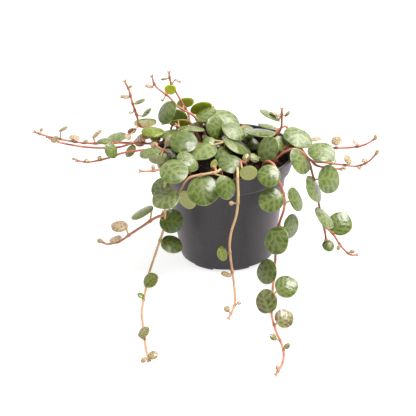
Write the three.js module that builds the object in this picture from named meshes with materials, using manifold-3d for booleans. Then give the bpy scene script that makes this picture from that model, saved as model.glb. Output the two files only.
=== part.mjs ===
// A potted string of turtles: a small trailing plant with round leaves, in a thin nursery pot.
// Millimetres, +Z up. The origin is the middle of the pot's foot, on the surface it stands on.
// The front of the plant, where its light comes from, is -Y, and +X is its right.

import * as THREE from 'three';
import { mergeVertices } from 'three/addons/utils/BufferGeometryUtils.js';
import Module from 'manifold-3d';

const manifold = await Module();
manifold.setup();

// The pot, whose nominal size is its outer diameter at the rim.
const POT_HEIGHT = 47.3;
const RIM_RADIUS = 30;
const LIP_HEIGHT = 8.3;
const LIP_FOOT_RADIUS = 27.6;
const LIP_STEP = 0.4;
const BODY_TOP_RADIUS = 25.9;
const FOOT_RADIUS = 20.5;
const FOOT_BEVEL = 0.8;
const WALL = 1.2;
const POT_SIDES = 36;
const NOTCH_COUNT = 8;
const NOTCH_WIDTH = 7.3;
const NOTCH_HEIGHT = 1.1;
const NOTCH_REACH = 2.4;
const FIRST_NOTCH_TURN = -100;

// The soil, a plug that fills the pot to a little below its rim. Its top has low waves, whose
// steepness along X and Y is in radians for each millimetre.
const SOIL_TOP = 42.4;
const SOIL_GAP = 0.4;
const SOIL_SIDES = 20;
const SOIL_RINGS = [21, 12];
const SOIL_UNEVENNESS = 0.35;
const SOIL_WAVE_X = 0.55;
const SOIL_WAVE_Y = 0.6;
const SOIL_WAVE_START = 1;

// Stems, which stand in holes in the soil, and petioles, the leaves' own stalks.
const STEM_RADIUS = 0.6;
const STEM_TIP_RADIUS = 0.42;
const STEM_SIDES = 4;
const STEM_STEP = 5;
const LEAST_STEM_STEPS = 3;
const STEM_FOOT = 36.5;
const STEM_COLLAR = 45;
const CURVE_TENSION = 0.5;
const HOLE_CLEARANCE = 0.6;
const HOLE_SIDES = 5;
const PETIOLE_RADIUS = 0.34;
const PETIOLE_SIDES = 3;
const PETIOLE_INTO_BLADE = 0.22;

// Leaves: round, slightly domed blades with a thick edge. Young ones are thinner, and their
// breadth as a share of their length grows with their width.
const BLADE_THICKNESS = 1.1;
const YOUNG_THICKNESS = 0.8;
const BLADE_EDGE = 0.6;
const BLADE_TAPER = 0.93;
const BLADE_SIDES = 9;
const YOUNG_BLADE_SIDES = 6;
const YOUNG_WIDTH = 5.5;
const LEAST_BREADTH = 0.66;
const BREADTH_GROWTH = 0.05;

// How far blades, petioles and stems of different plants keep from each other and from the pot,
// and the shifts and tilts that a leaf tries, in this order, until it is clear. A blade is tested
// at its middle and at points on rings, given as a share of its radius and a count.
const CLEARANCE = 0.4;
const SHIFT_STEP = 0.7;
const SHIFT_TRIES = 12;
const TILT_TRIES = [0, 12, -12, 25, -25];
const STEEPEST_RISE = 88;
const TESTED_RINGS = [[0.55, 6], [1, 12]];

const UP = new THREE.Vector3(0, 0, 1);
const TOWARD_LIGHT = new THREE.Vector3(0, -0.893, 0.45);
const NEARLY_UP = 0.9;

const POT_FINISH = { color: 0x4b494c, roughness: 0.45, metalness: 0 };
const SOIL_FINISH = { color: 0x2b211b, roughness: 0.95, metalness: 0 };
const LEAF_FINISH = { color: 0x5f8248, roughness: 0.4, metalness: 0 };

const radians = THREE.MathUtils.degToRad;

// Each leafy stem: its root in the soil, the points its stem passes, side branches that leave the
// stem, and its leaves. A leaf is the middle of its blade, its width, and the way its top faces:
// its turn about Z, where -90 is the front, and its rise above level, in degrees.
const PLACED_VINES = [
  {
    name: 'left_vine_upper',
    root: [-17, 4],
    stem: [[-24, 4, 50], [-32, 4, 50], [-38, 4, 50.5], [-47, 4, 51], [-55, 4, 51], [-63, 3, 52.5],
      [-74, 2, 56], [-79, 2, 58]],
    leaves: [
      [-29.5, 4, 49.5, 4, -60, 50],
      [-24, 6, 50, 5, -80, 40],
      [-34.5, 3, 54, 5, -165, 75],
      [-40, 1, 48.5, 6.3, -150, 45],
      [-46, 9, 51.5, 9.4, -165, 75],
      [-47, 1, 48.5, 7.2, -35, 30],
      [-50.5, -0.5, 54.5, 6.7, 140, 80],
      [-54, 6.5, 54.5, 5.5, 175, 55],
      [-58, 1, 53.5, 2.5, -85, 75],
      [-63, 4, 54.2, 5.1, -20, 80],
      [-67, 0, 60, 4.6, 175, 65],
      [-71, 1, 55, 4.2, -110, 70],
      [-76.5, 3.5, 58.5, 2, -90, 60],
    ],
  },
  {
    name: 'left_vine_middle',
    root: [-14, 11],
    stem: [[-22, 10, 49.5], [-30, 9.5, 50.5], [-36, 9, 49.6], [-44.5, 7, 47.6], [-53, 6, 48],
      [-61, 6, 49], [-69, 6, 51], [-73, 6, 53]],
    leaves: [
      [-29, 5, 52, 5.1, -60, 80],
      [-36, 8, 49.5, 5.5, -100, 60],
      [-23.5, 9, 48.5, 4.6, -80, 30],
      [-30, 12, 50.5, 3.8, -40, 40],
      [-71, 8, 51.5, 2.5, -90, 75],
      [-74.5, 6, 54, 2, -90, 60],
    ],
  },
  {
    name: 'left_vine_lower',
    root: [-19, -2],
    stem: [[-27, -2, 49.5], [-31, -2, 49.8], [-37, -2, 49.5], [-43, -2, 48.7], [-49, -2, 46.7],
      [-57, -2, 45.2], [-62, -2, 46]],
    leaves: [
      [-52.5, -4, 48, 2.4, -90, 70],
      [-58, -4, 47, 2.4, -90, 70],
      [-63.5, -2, 47, 1.8, -90, 60],
    ],
  },
  {
    name: 'rising_shoot_left',
    root: [-17.5, 12.5],
    stem: [[-23, 13, 50], [-29, 12, 53], [-35.5, 10, 55.7], [-36.5, 10, 60], [-38, 10, 66],
      [-39, 11, 71], [-40.6, 11, 75.4]],
    leaves: [
      [-33.5, 16, 55, 10.2, 95, 46],
      [-30, 4.5, 55.5, 9.8, -30, 85],
      [-39, 7, 55, 4.2, 115, 25],
      [-40.5, 6, 52.5, 3.8, -35, 60],
      [-32.5, 10, 62, 5.5, 180, 50],
      [-39, 9, 62.5, 2.1, -15, 70],
      [-35, 10, 67, 5.1, 180, 70],
      [-41, 11, 69, 4.6, 25, 85],
      [-38.5, 12, 73, 2.1, -165, 75],
    ],
  },
  {
    name: 'rising_shoot_back_left',
    root: [-7, 16],
    stem: [[-10, 16, 53], [-13, 16, 57.3], [-19, 16, 61.3], [-22.7, 16, 66], [-28, 17, 70.5],
      [-29.5, 17, 75]],
    leaves: [
      [-7.5, 19, 56, 10.4, -150, 68],
      [-24, 12, 61, 10.9, -145, 40],
      [-25.5, 16.5, 64.5, 1.8, -90, 60],
      [-31, 17, 71, 3.8, -15, 70],
    ],
  },
  {
    name: 'rising_shoot_back',
    root: [-12, 14],
    stem: [[-14, 18, 51], [-15, 21.5, 56], [-17, 21, 60], [-18.5, 20, 64], [-21.7, 21, 70.4],
      [-22.3, 21, 75]],
    leaves: [
      [-19.5, 18, 56.5, 9.5, 75, 30],
      [-16, 25, 60, 7.8, 100, 35],
      [-22, 18.5, 68.5, 5.3, 90, 5],
      [-24.5, 21, 72.5, 3.4, 150, 80],
      [-18.5, 21, 71.5, 3.4, 0, 60],
    ],
  },
  {
    name: 'crown_stem_back',
    root: [0, 18],
    stem: [[0, 19, 50], [-2, 20.5, 54], [-4, 22, 57.5]],
    leaves: [
      [-9, 23, 58, 10.4, 100, 35],
      [1.5, 16, 55, 13.4, -35, 60],
      [-3, 10, 53.5, 10.2, -50, 25],
      [-6, 26, 50, 9, 110, 50],
    ],
  },
  {
    name: 'crown_stem_back_right',
    root: [10, 12],
    stem: [[10, 13, 49], [9, 14, 52]],
    leaves: [
      [4.5, 9, 52, 11.5, -30, 60],
      [10, 12, 50.5, 8, -60, 60],
      [12, 9, 46, 6.5, -60, 50],
      [15.5, 12, 49.5, 12.9, 60, 80],
    ],
  },
  {
    name: 'crown_stem_middle',
    root: [0, 2],
    stem: [[0, 2, 48], [1, 1, 51]],
    leaves: [
      [5.5, 0, 49.5, 13.5, -5, 60],
      [0, 5, 49, 8.5, -50, 55],
      [-0.5, -5, 48, 8.3, -85, 65],
      [-9.5, -6, 50, 12.9, -120, 80],
      [-6.5, 2, 52, 6.7, 0, 50],
      [-6.5, -2, 52.5, 5.5, -90, 60],
    ],
  },
  {
    name: 'crown_stem_left',
    root: [-11, 6],
    stem: [[-12, 7, 50], [-15, 7.5, 53.5], [-20, 8, 56]],
    leaves: [
      [-22.5, 6, 53.5, 10.2, 152, 74],
      [-18.5, 13, 55.5, 9.5, 90, 49],
      [-13.5, 9, 54, 11.1, 60, 75],
      [-12, 1, 50.5, 7, 75, 80],
    ],
  },
  {
    name: 'crown_stem_left_edge',
    root: [-21, -5.5],
    stem: [[-22.5, -5.5, 48.5], [-26, -5.5, 51], [-29, -4, 52.5]],
    leaves: [
      [-29.5, 0, 51, 3.8, -105, 55],
      [-23.5, 2, 51.5, 5.5, -150, 35],
      [-31, -8, 51.5, 9.5, -170, 80],
      [-28, -12, 50, 7.4, 75, 30],
      [-23.5, -7, 49, 7.2, -60, 50],
    ],
  },
  {
    name: 'crown_stem_front_left',
    root: [-13, -4],
    stem: [[-14.5, -6, 49], [-18, -9, 51]],
    leaves: [
      [-17, -8, 48.5, 6.5, -70, 60],
      [-17, -9, 56, 12, -85, 57],
      [-16, -13, 50, 7.8, -50, 65],
      [-14, -18, 49.5, 6.9, -50, 35],
    ],
  },
  {
    name: 'crown_stem_right',
    root: [16, -5],
    stem: [[17, -5, 47.5], [20, -3, 50]],
    leaves: [
      [17.5, -4, 48.5, 11.7, -140, 30],
      [12, -9, 47, 4.6, -30, 50],
    ],
  },
  {
    name: 'crown_stem_front_right',
    root: [9, -15],
    stem: [[8, -16, 48], [6, -18, 50]],
    leaves: [
      [2, -14, 47.5, 10.8, -65, 66],
      [8.5, -25, 48, 7.2, 90, 10],
      [8.5, -11, 48, 2.9, -45, 40],
      [8.5, -15, 50, 4, -80, 40],
      [12, -13.5, 49.5, 5, -20, 50],
    ],
  },
  {
    name: 'rising_shoot_right',
    root: [20, 8],
    stem: [[22.5, 8.3, 49], [24.4, 8, 53], [24.8, 8, 57], [24.9, 9, 61]],
    leaves: [
      [20, 8, 59.5, 10.1, 10, 60],
      [22, 11, 58, 5.1, 15, 60],
      [27, 8, 59.5, 3.4, -175, 45],
    ],
  },
  {
    name: 'right_vine_upper',
    root: [20, 4],
    stem: [[25, 3, 49.5], [31, 3, 50], [36, 2.5, 47.5], [40.4, 2, 45.7], [47.6, 2, 45.4],
      [55.3, 2, 45.5], [60, 2, 46.7], [63.6, 2, 49]],
    leaves: [
      [31, 0.5, 52, 13, -45, 65],
      [40, -4.5, 47, 12.1, -70, 70],
      [38.5, 5, 49, 6.4, 115, 75],
      [47.5, 3, 48.5, 5.1, -115, 65],
      [56, 3, 47, 4.2, -5, 55],
      [64, 2.5, 50, 2, -90, 60],
    ],
  },
  {
    name: 'right_vine_lower',
    root: [22, -3],
    stem: [[26, -3, 49.3], [31, -3.5, 49], [36, -4, 43], [43, -3, 41], [50, -3, 39.7],
      [56, -3, 38.9], [60.6, -3, 41], [63.5, -3, 44.2]],
    branches: [[[36, -4, 43], [39, -6.5, 41.2], [48, -7, 39.7]]],
    leaves: [
      [24, -2, 50, 8, -45, 40],
      [45, -2, 41.5, 4.4, -90, 60],
      [29, -3, 49.5, 6, -60, 65],
      [51.5, -5, 43, 4.6, -40, 35],
      [58.5, -4, 42, 2.9, -85, 75],
      [56.5, -4.5, 39, 2.5, -85, 75],
      [64, -3, 45.4, 2, -90, 60],
      [49.5, -8, 40.6, 2, -90, 60],
    ],
  },
  {
    name: 'right_trailing_vine',
    root: [20, -9],
    stem: [[25, -9, 49.5], [30, -9, 50.3], [34, -9.5, 46], [36, -10, 39.8], [38.8, -11, 25.7],
      [40.5, -12, 17], [44.8, -12, 11.7], [48.3, -12, 5.7], [52, -12, 1.5], [55, -12, 1]],
    branches: [[[40.5, -12, 17], [41.3, -13, 13], [41.6, -14, 10.5]]],
    leaves: [
      [31, -13, 47, 11.9, -35, 35],
      [43, -10, 36.5, 12.5, -50, 20],
      [36.5, -15, 35, 12.4, -20, 30],
      [41, -16, 22, 11.7, -10, 45],
      [48, -10, 15.5, 10.7, -90, 40],
      [42.5, -15, 8, 5.5, -90, 50],
      [47, -14, 6, 2.2, -90, 40],
      [53, -13, 3.4, 2.4, -90, 40],
    ],
  },
  {
    name: 'front_right_trailing_vine',
    root: [15, -14],
    stem: [[17, -18, 49.5], [19.5, -24, 50], [20.5, -27.5, 46], [22.8, -28.5, 39], [22.8, -28.5, 33],
      [20.7, -28, 25.4], [19.4, -28, 15], [19, -28.5, 8], [18.5, -31, 2.6], [17.5, -36, 1],
      [16.5, -47, 1], [15.6, -57.6, 1], [16.4, -69, 1], [18, -79, 1], [18.2, -86, 1],
      [17, -92, 1], [14.4, -98, 1]],
    leaves: [
      [17, -26, 47, 9.6, -90, 45],
      [17.5, -31, 38.5, 10.4, -90, 35],
      [28, -26, 36, 10.5, -25, 30],
      [26, -28, 24.5, 10.6, -40, 5],
      [19, -31, 20, 11.8, -130, 30],
      [15, -32, 6, 10.7, -135, 25],
      [22.5, -42.5, 5, 9.7, -90, 50],
      [13.5, -52.5, 4.4, 9.9, -125, 30],
      [20, -65, 4, 7.8, -75, 45],
      [15, -76.5, 3, 3.4, -45, 40],
      [19.5, -83, 3, 3, -140, 50],
      [15, -96.5, 3, 2, -100, 65],
    ],
  },
  {
    name: 'front_bare_vine',
    root: [3.5, -20.5],
    stem: [[4.2, -24, 49.5], [4.4, -28, 50.8], [4.2, -32.5, 48], [4.2, -34, 42], [3.3, -34, 34],
      [1, -34, 26], [0.2, -34, 19], [0.8, -34, 10], [1.5, -36, 3], [1.7, -41, 1], [1.6, -46, 1],
      [0.5, -52, 1], [-1.4, -58.6, 1]],
    leaves: [
      [1.5, -34.5, 39.5, 2.4, -45, 30],
      [-2.5, -34, 16.5, 6.5, -30, 25],
      [-1.5, -36, 8, 4.9, 15, 70],
      [3, -50, 2.5, 2, -50, 55],
      [-2, -55, 3, 3.2, -125, 60],
    ],
  },
  {
    name: 'front_stem_over_rim',
    root: [-2, -21],
    stem: [[-2.4, -24, 49.4], [-4, -28, 50.3], [-9, -30, 50.5], [-15, -30.5, 49.4], [-18, -30, 45],
      [-19.5, -29.5, 41.5]],
    branches: [[[-4, -28, 50.3], [-4.8, -27, 52]]],
    leaves: [
      [-5, -26, 53, 4, 120, 0],
      [-0.5, -33.5, 46, 9.9, -45, 30],
      [-9.5, -34, 45.5, 13.1, -90, 45],
      [-16, -32.5, 41, 8.4, 60, 5],
      [-24.5, -27, 39.5, 11.7, -110, 65],
    ],
  },
  {
    name: 'left_trailing_vine',
    root: [-15, -12],
    stem: [[-18, -17, 49.5], [-22, -22.5, 50.8], [-24.5, -25.5, 46.5], [-25.5, -25, 38],
      [-25.6, -24.5, 30.5], [-26.8, -24, 23], [-30, -23, 13.3], [-33, -23.5, 5], [-34.5, -26.5, 1.4],
      [-35, -34, 1], [-35.6, -43, 1], [-36, -52, 1], [-35, -63, 1], [-33.6, -77, 1], [-32.2, -86, 1]],
    branches: [
      [[-22, -22.5, 50.8], [-27.5, -20.5, 48.9], [-31, -21, 48.6], [-34.5, -21.5, 49]],
      [[-25.6, -24.5, 30.5], [-29.8, -24, 28.8], [-35, -25, 25.8], [-39.6, -25, 22.8],
       [-44.7, -26, 19.8], [-49.7, -26, 18.6], [-52, -26, 19.7]],
    ],
    leaves: [
      [-21, -28, 51.5, 11.9, -95, 60],
      [-27, -20, 40.5, 9.4, -125, 40],
      [-23, -20, 25, 10.4, -70, 25],
      [-23.5, -20, 14.5, 9.6, -50, 60],
      [-29.5, -20.5, 50, 2.2, -90, 40],
      [-35, -24, 32, 10.2, 170, 65],
      [-44.5, -25, 26.5, 7, -85, 75],
      [-46.5, -27.5, 22, 5.7, 170, 75],
      [-53, -26, 20.4, 2.6, -100, 50],
      [-33, -31.5, 4, 7, -130, 50],
      [-36.5, -42, 3, 3.3, -35, 60],
      [-34.5, -71, 4, 5.4, -145, 60],
      [-30.5, -86, 3.4, 4.1, -85, 60],
      [-34, -87.5, 2.6, 2.6, -110, 50],
    ],
  },
];

// The vines at the back, which hang over the rim and run on along the surface: the turn of each
// about Z where it crosses the rim, how far it swings sideways below, the height where it ends, or
// the length that it lies on the surface, and how many leaves it carries.
const HANGING_VINES = [
  { name: 'back_vine_right', turn: 30, swing: 24, bottom: 22, lies: 0, leafCount: 6 },
  { name: 'back_vine_middle', turn: 90, swing: -12, bottom: 0, lies: 22, leafCount: 9 },
  { name: 'back_vine_inner', turn: 105, swing: -4, bottom: 14, lies: 0, leafCount: 6 },
  { name: 'back_vine_outer', turn: 120, swing: 2, bottom: 0, lies: 12, leafCount: 8 },
  { name: 'back_vine_left', turn: 134, swing: 8, bottom: 24, lies: 0, leafCount: 5 },
];
const HANGING_ROOT_RADIUS = 21;
const HANGING_STEM_RADIUS = 33.6;
const HANGING_RIM_POINTS = [[27, 49.4], [31.6, 50.2]];
const HANGING_STEP = 8;
const LYING_HEIGHT = 1;
const LANDING_RADIUS = 4;

// How far a hanging stem sways to both sides, how many radians of sway it has from rim to end, and
// how far it veers for each millimetre on the surface; in degrees.
const SWAY = 2.5;
const SWAY_LENGTH = 4;
const VEER = 0.6;

// The leaves of a hanging vine: their widths, where the first and the last stand along the stem,
// how far out they are set, how much of a width stays above the surface, and the ways they face.
const OLD_LEAF_WIDTH = 10.5;
const YOUNG_LEAF_WIDTH = 3.5;
const WIDTH_SPREAD = 1.6;
const STALK_LENGTH = 1.8;
const FIRST_LEAF_SHARE = 0.12;
const LAST_LEAF_SHARE = 0.99;
const OUTWARD_OFFSET = 0.6;
const LYING_LEAF_SHARE = 0.42;
const CROWN_RISE = 70;
const HANGING_RISE = 30;
const RISE_SPREAD = 15;
const TURN_SPREAD = 25;
const AWAY_RISE = 20;

// The seed of the random draws, and the generator's own numbers.
const RANDOM_SEED = 20;
const GENERATOR_FACTOR = 1664525;
const GENERATOR_SHIFT = 1013904223;
const GENERATOR_RANGE = 4294967296;

/** Numbers from 0 to 1 that are the same on every run. */
function seededRandom(seed) {
  let state = seed;
  return () => {
    state = (state * GENERATOR_FACTOR + GENERATOR_SHIFT) % GENERATOR_RANGE;
    return state / GENERATOR_RANGE;
  };
}

/** A direction from its turn about Z and its rise above level, in degrees. */
function direction(turn, rise) {
  const level = Math.cos(radians(rise));
  return new THREE.Vector3(
    level * Math.cos(radians(turn)),
    level * Math.sin(radians(turn)),
    Math.sin(radians(rise)),
  );
}

/** A point at a turn about Z, a distance from the pot's axis and a height. */
function aroundPot(turn, radius, height) {
  return [radius * Math.cos(radians(turn)), radius * Math.sin(radians(turn)), height];
}

/** The solid bounded by a closed geometry, with its shared vertices merged. */
function solidOf(geometry) {
  const bare = geometry.clone();
  bare.deleteAttribute('normal');
  bare.deleteAttribute('uv');
  const merged = mergeVertices(bare);
  const corners = merged.index.array;
  const kept = [];
  for (let i = 0; i < corners.length; i += 3) {
    const [a, b, c] = corners.slice(i, i + 3);
    if (a !== b && b !== c && c !== a) kept.push(a, b, c);
  }
  return new manifold.Manifold(new manifold.Mesh({
    numProp: 3,
    vertProperties: Float32Array.from(merged.attributes.position.array),
    triVerts: Uint32Array.from(kept),
  }));
}

/** The geometry of a solid's surface. */
function geometryOf(solid) {
  const surface = solid.getMesh();
  const geometry = new THREE.BufferGeometry();
  geometry.setAttribute('position', new THREE.BufferAttribute(surface.vertProperties, 3));
  geometry.setIndex(new THREE.BufferAttribute(surface.triVerts, 1));
  geometry.computeVertexNormals();
  return geometry;
}

/** A solid turned about the Z axis from a profile of radius and height pairs. */
function turned(profile, sides) {
  const points = profile.map(([radius, height]) => new THREE.Vector2(radius, height));
  return new THREE.LatheGeometry(points, sides).rotateX(Math.PI / 2);
}

/** The corners of a regular polygon, as a shape to extrude. */
function polygon(sides, radius) {
  const corners = [];
  for (let i = 0; i < sides; i += 1) {
    const angle = (2 * Math.PI * i) / sides;
    corners.push(new THREE.Vector2(radius * Math.cos(angle), radius * Math.sin(angle)));
  }
  return new THREE.Shape(corners);
}

// The wall's outer and inner line, from the foot to the rim.
const lipFoot = POT_HEIGHT - LIP_HEIGHT;
const OUTER_LINE = [
  [FOOT_RADIUS - FOOT_BEVEL, 0],
  [FOOT_RADIUS, FOOT_BEVEL],
  [BODY_TOP_RADIUS, lipFoot - LIP_STEP],
  [LIP_FOOT_RADIUS, lipFoot],
  [RIM_RADIUS, POT_HEIGHT],
];
const INNER_LINE = [
  [FOOT_RADIUS - WALL, WALL],
  [BODY_TOP_RADIUS - WALL, lipFoot - LIP_STEP + WALL],
  [LIP_FOOT_RADIUS - WALL, lipFoot + WALL],
  [RIM_RADIUS - WALL, POT_HEIGHT],
];

/** The pot: a thin tapered wall, a lip band, a flat foot and drain notches round its edge. */
function potSolid() {
  const profile = [[0, 0], ...OUTER_LINE, ...[...INNER_LINE].reverse(), [0, WALL]];
  let pot = solidOf(turned(profile, POT_SIDES));
  for (let i = 0; i < NOTCH_COUNT; i += 1) {
    const turn = FIRST_NOTCH_TURN + (i * 360) / NOTCH_COUNT;
    const notch = new THREE.BoxGeometry(2 * NOTCH_REACH, NOTCH_WIDTH, 2 * NOTCH_HEIGHT);
    notch.translate(FOOT_RADIUS, 0, 0);
    notch.rotateZ(radians(turn));
    pot = pot.subtract(solidOf(notch));
  }
  return pot;
}

/** How much the soil's top stands above or below its mean height at a place. */
function soilRelief(x, y) {
  return SOIL_UNEVENNESS * Math.sin(SOIL_WAVE_X * x + SOIL_WAVE_START) * Math.cos(SOIL_WAVE_Y * y);
}

/** The soil: a plug that fills the pot, with an uneven top and a plain hole for each stem. */
function soilSolid(vines) {
  const [footRadius, footHeight] = INNER_LINE[0];
  const [neckRadius, neckHeight] = INNER_LINE[1];
  const [lipRadius, lipHeight] = INNER_LINE[2];
  const plug = turned([
    [0, footHeight + SOIL_GAP],
    [footRadius - SOIL_GAP, footHeight + SOIL_GAP],
    [neckRadius - SOIL_GAP, neckHeight + SOIL_GAP],
    [lipRadius - SOIL_GAP, lipHeight + SOIL_GAP],
    [lipRadius, SOIL_TOP],
    ...SOIL_RINGS.map((radius) => [radius, SOIL_TOP]),
    [0, SOIL_TOP],
  ], SOIL_SIDES);
  const place = plug.attributes.position;
  for (let i = 0; i < place.count; i += 1) {
    const x = place.getX(i);
    const y = place.getY(i);
    const isTop = place.getZ(i) > SOIL_TOP - SOIL_UNEVENNESS;
    if (isTop && Math.hypot(x, y) < lipRadius - SOIL_GAP) {
      place.setZ(i, SOIL_TOP + soilRelief(x, y));
    }
  }
  let soil = solidOf(plug);
  const radius = STEM_RADIUS + HOLE_CLEARANCE;
  const depth = SOIL_TOP - STEM_FOOT;
  for (const { root } of vines) {
    const hole = new THREE.CylinderGeometry(radius, radius, 2 * depth, HOLE_SIDES);
    hole.rotateX(Math.PI / 2);
    hole.translate(root[0], root[1], STEM_FOOT + depth - HOLE_CLEARANCE);
    soil = soil.subtract(solidOf(hole));
  }
  return soil;
}

/** The smooth way of a stem through its points. */
function curveThrough(points) {
  const corners = points.map((point) => new THREE.Vector3(...point));
  return new THREE.CatmullRomCurve3(corners, false, 'catmullrom', CURVE_TENSION);
}

/** The way of a main stem: up its hole, straight out of the soil, then through its own points. */
function mainCurve({ root, stem }) {
  const standing = [STEM_FOOT, (STEM_FOOT + STEM_COLLAR) / 2, STEM_COLLAR];
  return curveThrough([...standing.map((height) => [...root, height]), ...stem]);
}

/** A stem's tube, which tapers towards its tip. */
function stemSolid(curve) {
  const steps = Math.max(LEAST_STEM_STEPS, Math.round(curve.getLength() / STEM_STEP));
  const section = polygon(STEM_SIDES, STEM_RADIUS);
  const tube = new THREE.ExtrudeGeometry(section, { steps, extrudePath: curve });
  const middles = curve.getSpacedPoints(steps);
  const place = tube.attributes.position;
  const vertex = new THREE.Vector3();
  for (let i = 0; i < place.count; i += 1) {
    vertex.fromBufferAttribute(place, i);
    const distances = middles.map((middle) => middle.distanceTo(vertex));
    const nearest = distances.indexOf(Math.min(...distances));
    const taper = 1 + (STEM_TIP_RADIUS / STEM_RADIUS - 1) * (nearest / steps);
    vertex.sub(middles[nearest]).multiplyScalar(taper).add(middles[nearest]);
    place.setXYZ(i, vertex.x, vertex.y, vertex.z);
  }
  return solidOf(tube);
}

/** The stem of a hanging vine: over the rim, down the wall and out along the surface. */
function hangingStem({ turn, swing, bottom, lies }) {
  const stem = HANGING_RIM_POINTS.map(([radius, height]) => aroundPot(turn, radius, height));
  const low = lies > 0 ? LYING_HEIGHT + LANDING_RADIUS : bottom;
  const drops = Math.max(2, Math.round((SOIL_TOP - low) / HANGING_STEP));
  for (let i = 0; i <= drops; i += 1) {
    const share = i / drops;
    const sway = SWAY * Math.sin(SWAY_LENGTH * share + turn);
    const height = THREE.MathUtils.lerp(SOIL_TOP, low, share);
    stem.push(aroundPot(turn + swing * share + sway, HANGING_STEM_RADIUS, height));
  }
  for (let along = LANDING_RADIUS; along <= lies; along += HANGING_STEP) {
    stem.push(aroundPot(turn + swing + VEER * along, HANGING_STEM_RADIUS + along, LYING_HEIGHT));
  }
  return stem;
}

/** A hanging vine, whose leaves stand on both sides of its stem and get smaller towards its tip. */
function hangingVine(rule, random) {
  const root = aroundPot(rule.turn, HANGING_ROOT_RADIUS, 0).slice(0, 2);
  const stem = hangingStem(rule);
  const curve = mainCurve({ root, stem });
  const first = (STEM_COLLAR - STEM_FOOT) / curve.getLength() + FIRST_LEAF_SHARE;
  const leaves = [];
  for (let i = 0; i < rule.leafCount; i += 1) {
    const age = i / (rule.leafCount - 1);
    const meanWidth = THREE.MathUtils.lerp(OLD_LEAF_WIDTH, YOUNG_LEAF_WIDTH, age);
    const width = meanWidth + WIDTH_SPREAD * (random() - 0.5);
    const node = curve.getPointAt(THREE.MathUtils.lerp(first, LAST_LEAF_SHARE, age));
    const side = i % 2 === 0 ? 1 : -1;
    const outTurn = THREE.MathUtils.radToDeg(Math.atan2(node.y, node.x));
    const middle = node.clone();
    middle.addScaledVector(direction(outTurn + 90 * side, 0), width / 2 + STALK_LENGTH);
    middle.addScaledVector(direction(outTurn, 0), OUTWARD_OFFSET);
    middle.z = Math.max(middle.z, LYING_LEAF_SHARE * width);
    const rise = node.z > POT_HEIGHT ? CROWN_RISE : HANGING_RISE + RISE_SPREAD * random();
    leaves.push([...middle, width, outTurn + side * TURN_SPREAD * random(), rise]);
  }
  const away = direction(rule.turn + rule.swing, AWAY_RISE);
  return { name: rule.name, root, stem, leaves, away };
}

/** Balls along a way, which stand for a stem or a petiole where leaves keep clear of it. */
function ballsAlong(from, to, radius) {
  const count = Math.max(2, Math.ceil(from.distanceTo(to) / radius / 2));
  const balls = [];
  for (let i = 0; i <= count; i += 1) {
    balls.push({ middle: from.clone().lerp(to, i / count), radius });
  }
  return balls;
}

/** The points at which a blade is tested: its middle and some rings. */
function testedPoints({ middle, normal, radius }) {
  const along = new THREE.Vector3();
  along.crossVectors(normal, Math.abs(normal.z) > NEARLY_UP ? TOWARD_LIGHT : UP).normalize();
  const across = new THREE.Vector3().crossVectors(normal, along);
  const points = [middle.clone()];
  for (const [ring, count] of TESTED_RINGS) {
    for (let i = 0; i < count; i += 1) {
      const angle = (2 * Math.PI * i) / count;
      const point = middle.clone();
      point.addScaledVector(along, ring * radius * Math.cos(angle));
      point.addScaledVector(across, ring * radius * Math.sin(angle));
      points.push(point);
    }
  }
  return points;
}

/** The distance from a point to the middle plane of a round blade. */
function distanceToBlade(point, { middle, normal, radius }) {
  const offset = point.clone().sub(middle);
  const above = offset.dot(normal);
  const beyond = Math.max(0, Math.sqrt(Math.max(0, offset.lengthSq() - above * above)) - radius);
  return Math.hypot(above, beyond);
}

/** The distance from a point to a line between two points of a plane. */
function distanceToLine([x, y], [x0, y0], [x1, y1]) {
  const share = ((x - x0) * (x1 - x0) + (y - y0) * (y1 - y0)) / ((x1 - x0) ** 2 + (y1 - y0) ** 2);
  const held = Math.min(1, Math.max(0, share));
  return Math.hypot(x - x0 - held * (x1 - x0), y - y0 - held * (y1 - y0));
}

/** The free distance from a point to the pot, the soil and the surface below. */
function roomAround(point) {
  const place = [Math.hypot(point.x, point.y), point.z];
  let room = point.z;
  for (const line of [OUTER_LINE, INNER_LINE]) {
    for (let i = 1; i < line.length; i += 1) {
      room = Math.min(room, distanceToLine(place, line[i - 1], line[i]));
    }
  }
  if (place[0] < RIM_RADIUS - WALL) {
    room = Math.min(room, point.z - SOIL_TOP - SOIL_UNEVENNESS);
  }
  return room;
}

/** Whether a leaf's blade keeps clear of another leaf's blade. */
function bladesAreClear(leaf, other) {
  const apart = (leaf.thickness + other.thickness) / 2 + CLEARANCE;
  if (other.middle.distanceTo(leaf.middle) > leaf.radius + other.radius + apart) return true;
  return leaf.points.every((point) => distanceToBlade(point, other) >= apart)
    && other.points.every((point) => distanceToBlade(point, leaf) >= apart);
}

/** Whether a leaf, with its petiole, is clear of what is placed. */
function isClear(leaf, placed) {
  const half = leaf.thickness / 2;
  if (leaf.points.some((point) => roomAround(point) < half + CLEARANCE)) return false;
  const stalk = ballsAlong(leaf.foot, leaf.base, PETIOLE_RADIUS).slice(2);
  if (stalk.some(({ middle, radius }) => roomAround(middle) < radius + CLEARANCE)) return false;
  if (!placed.leaves.every((other) => bladesAreClear(leaf, other))) return false;
  for (const ball of placed.balls) {
    if (ball.owner === leaf.owner) continue;
    if (distanceToBlade(ball.middle, leaf) < half + ball.radius + CLEARANCE) return false;
    const near = PETIOLE_RADIUS + ball.radius + CLEARANCE;
    if (stalk.some(({ middle }) => middle.distanceTo(ball.middle) < near)) return false;
  }
  for (const other of placed.leaves) {
    if (other.owner === leaf.owner) continue;
    const apart = PETIOLE_RADIUS + other.thickness / 2 + CLEARANCE;
    if (stalk.some(({ middle }) => distanceToBlade(middle, other) < apart)) return false;
  }
  return true;
}

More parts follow.
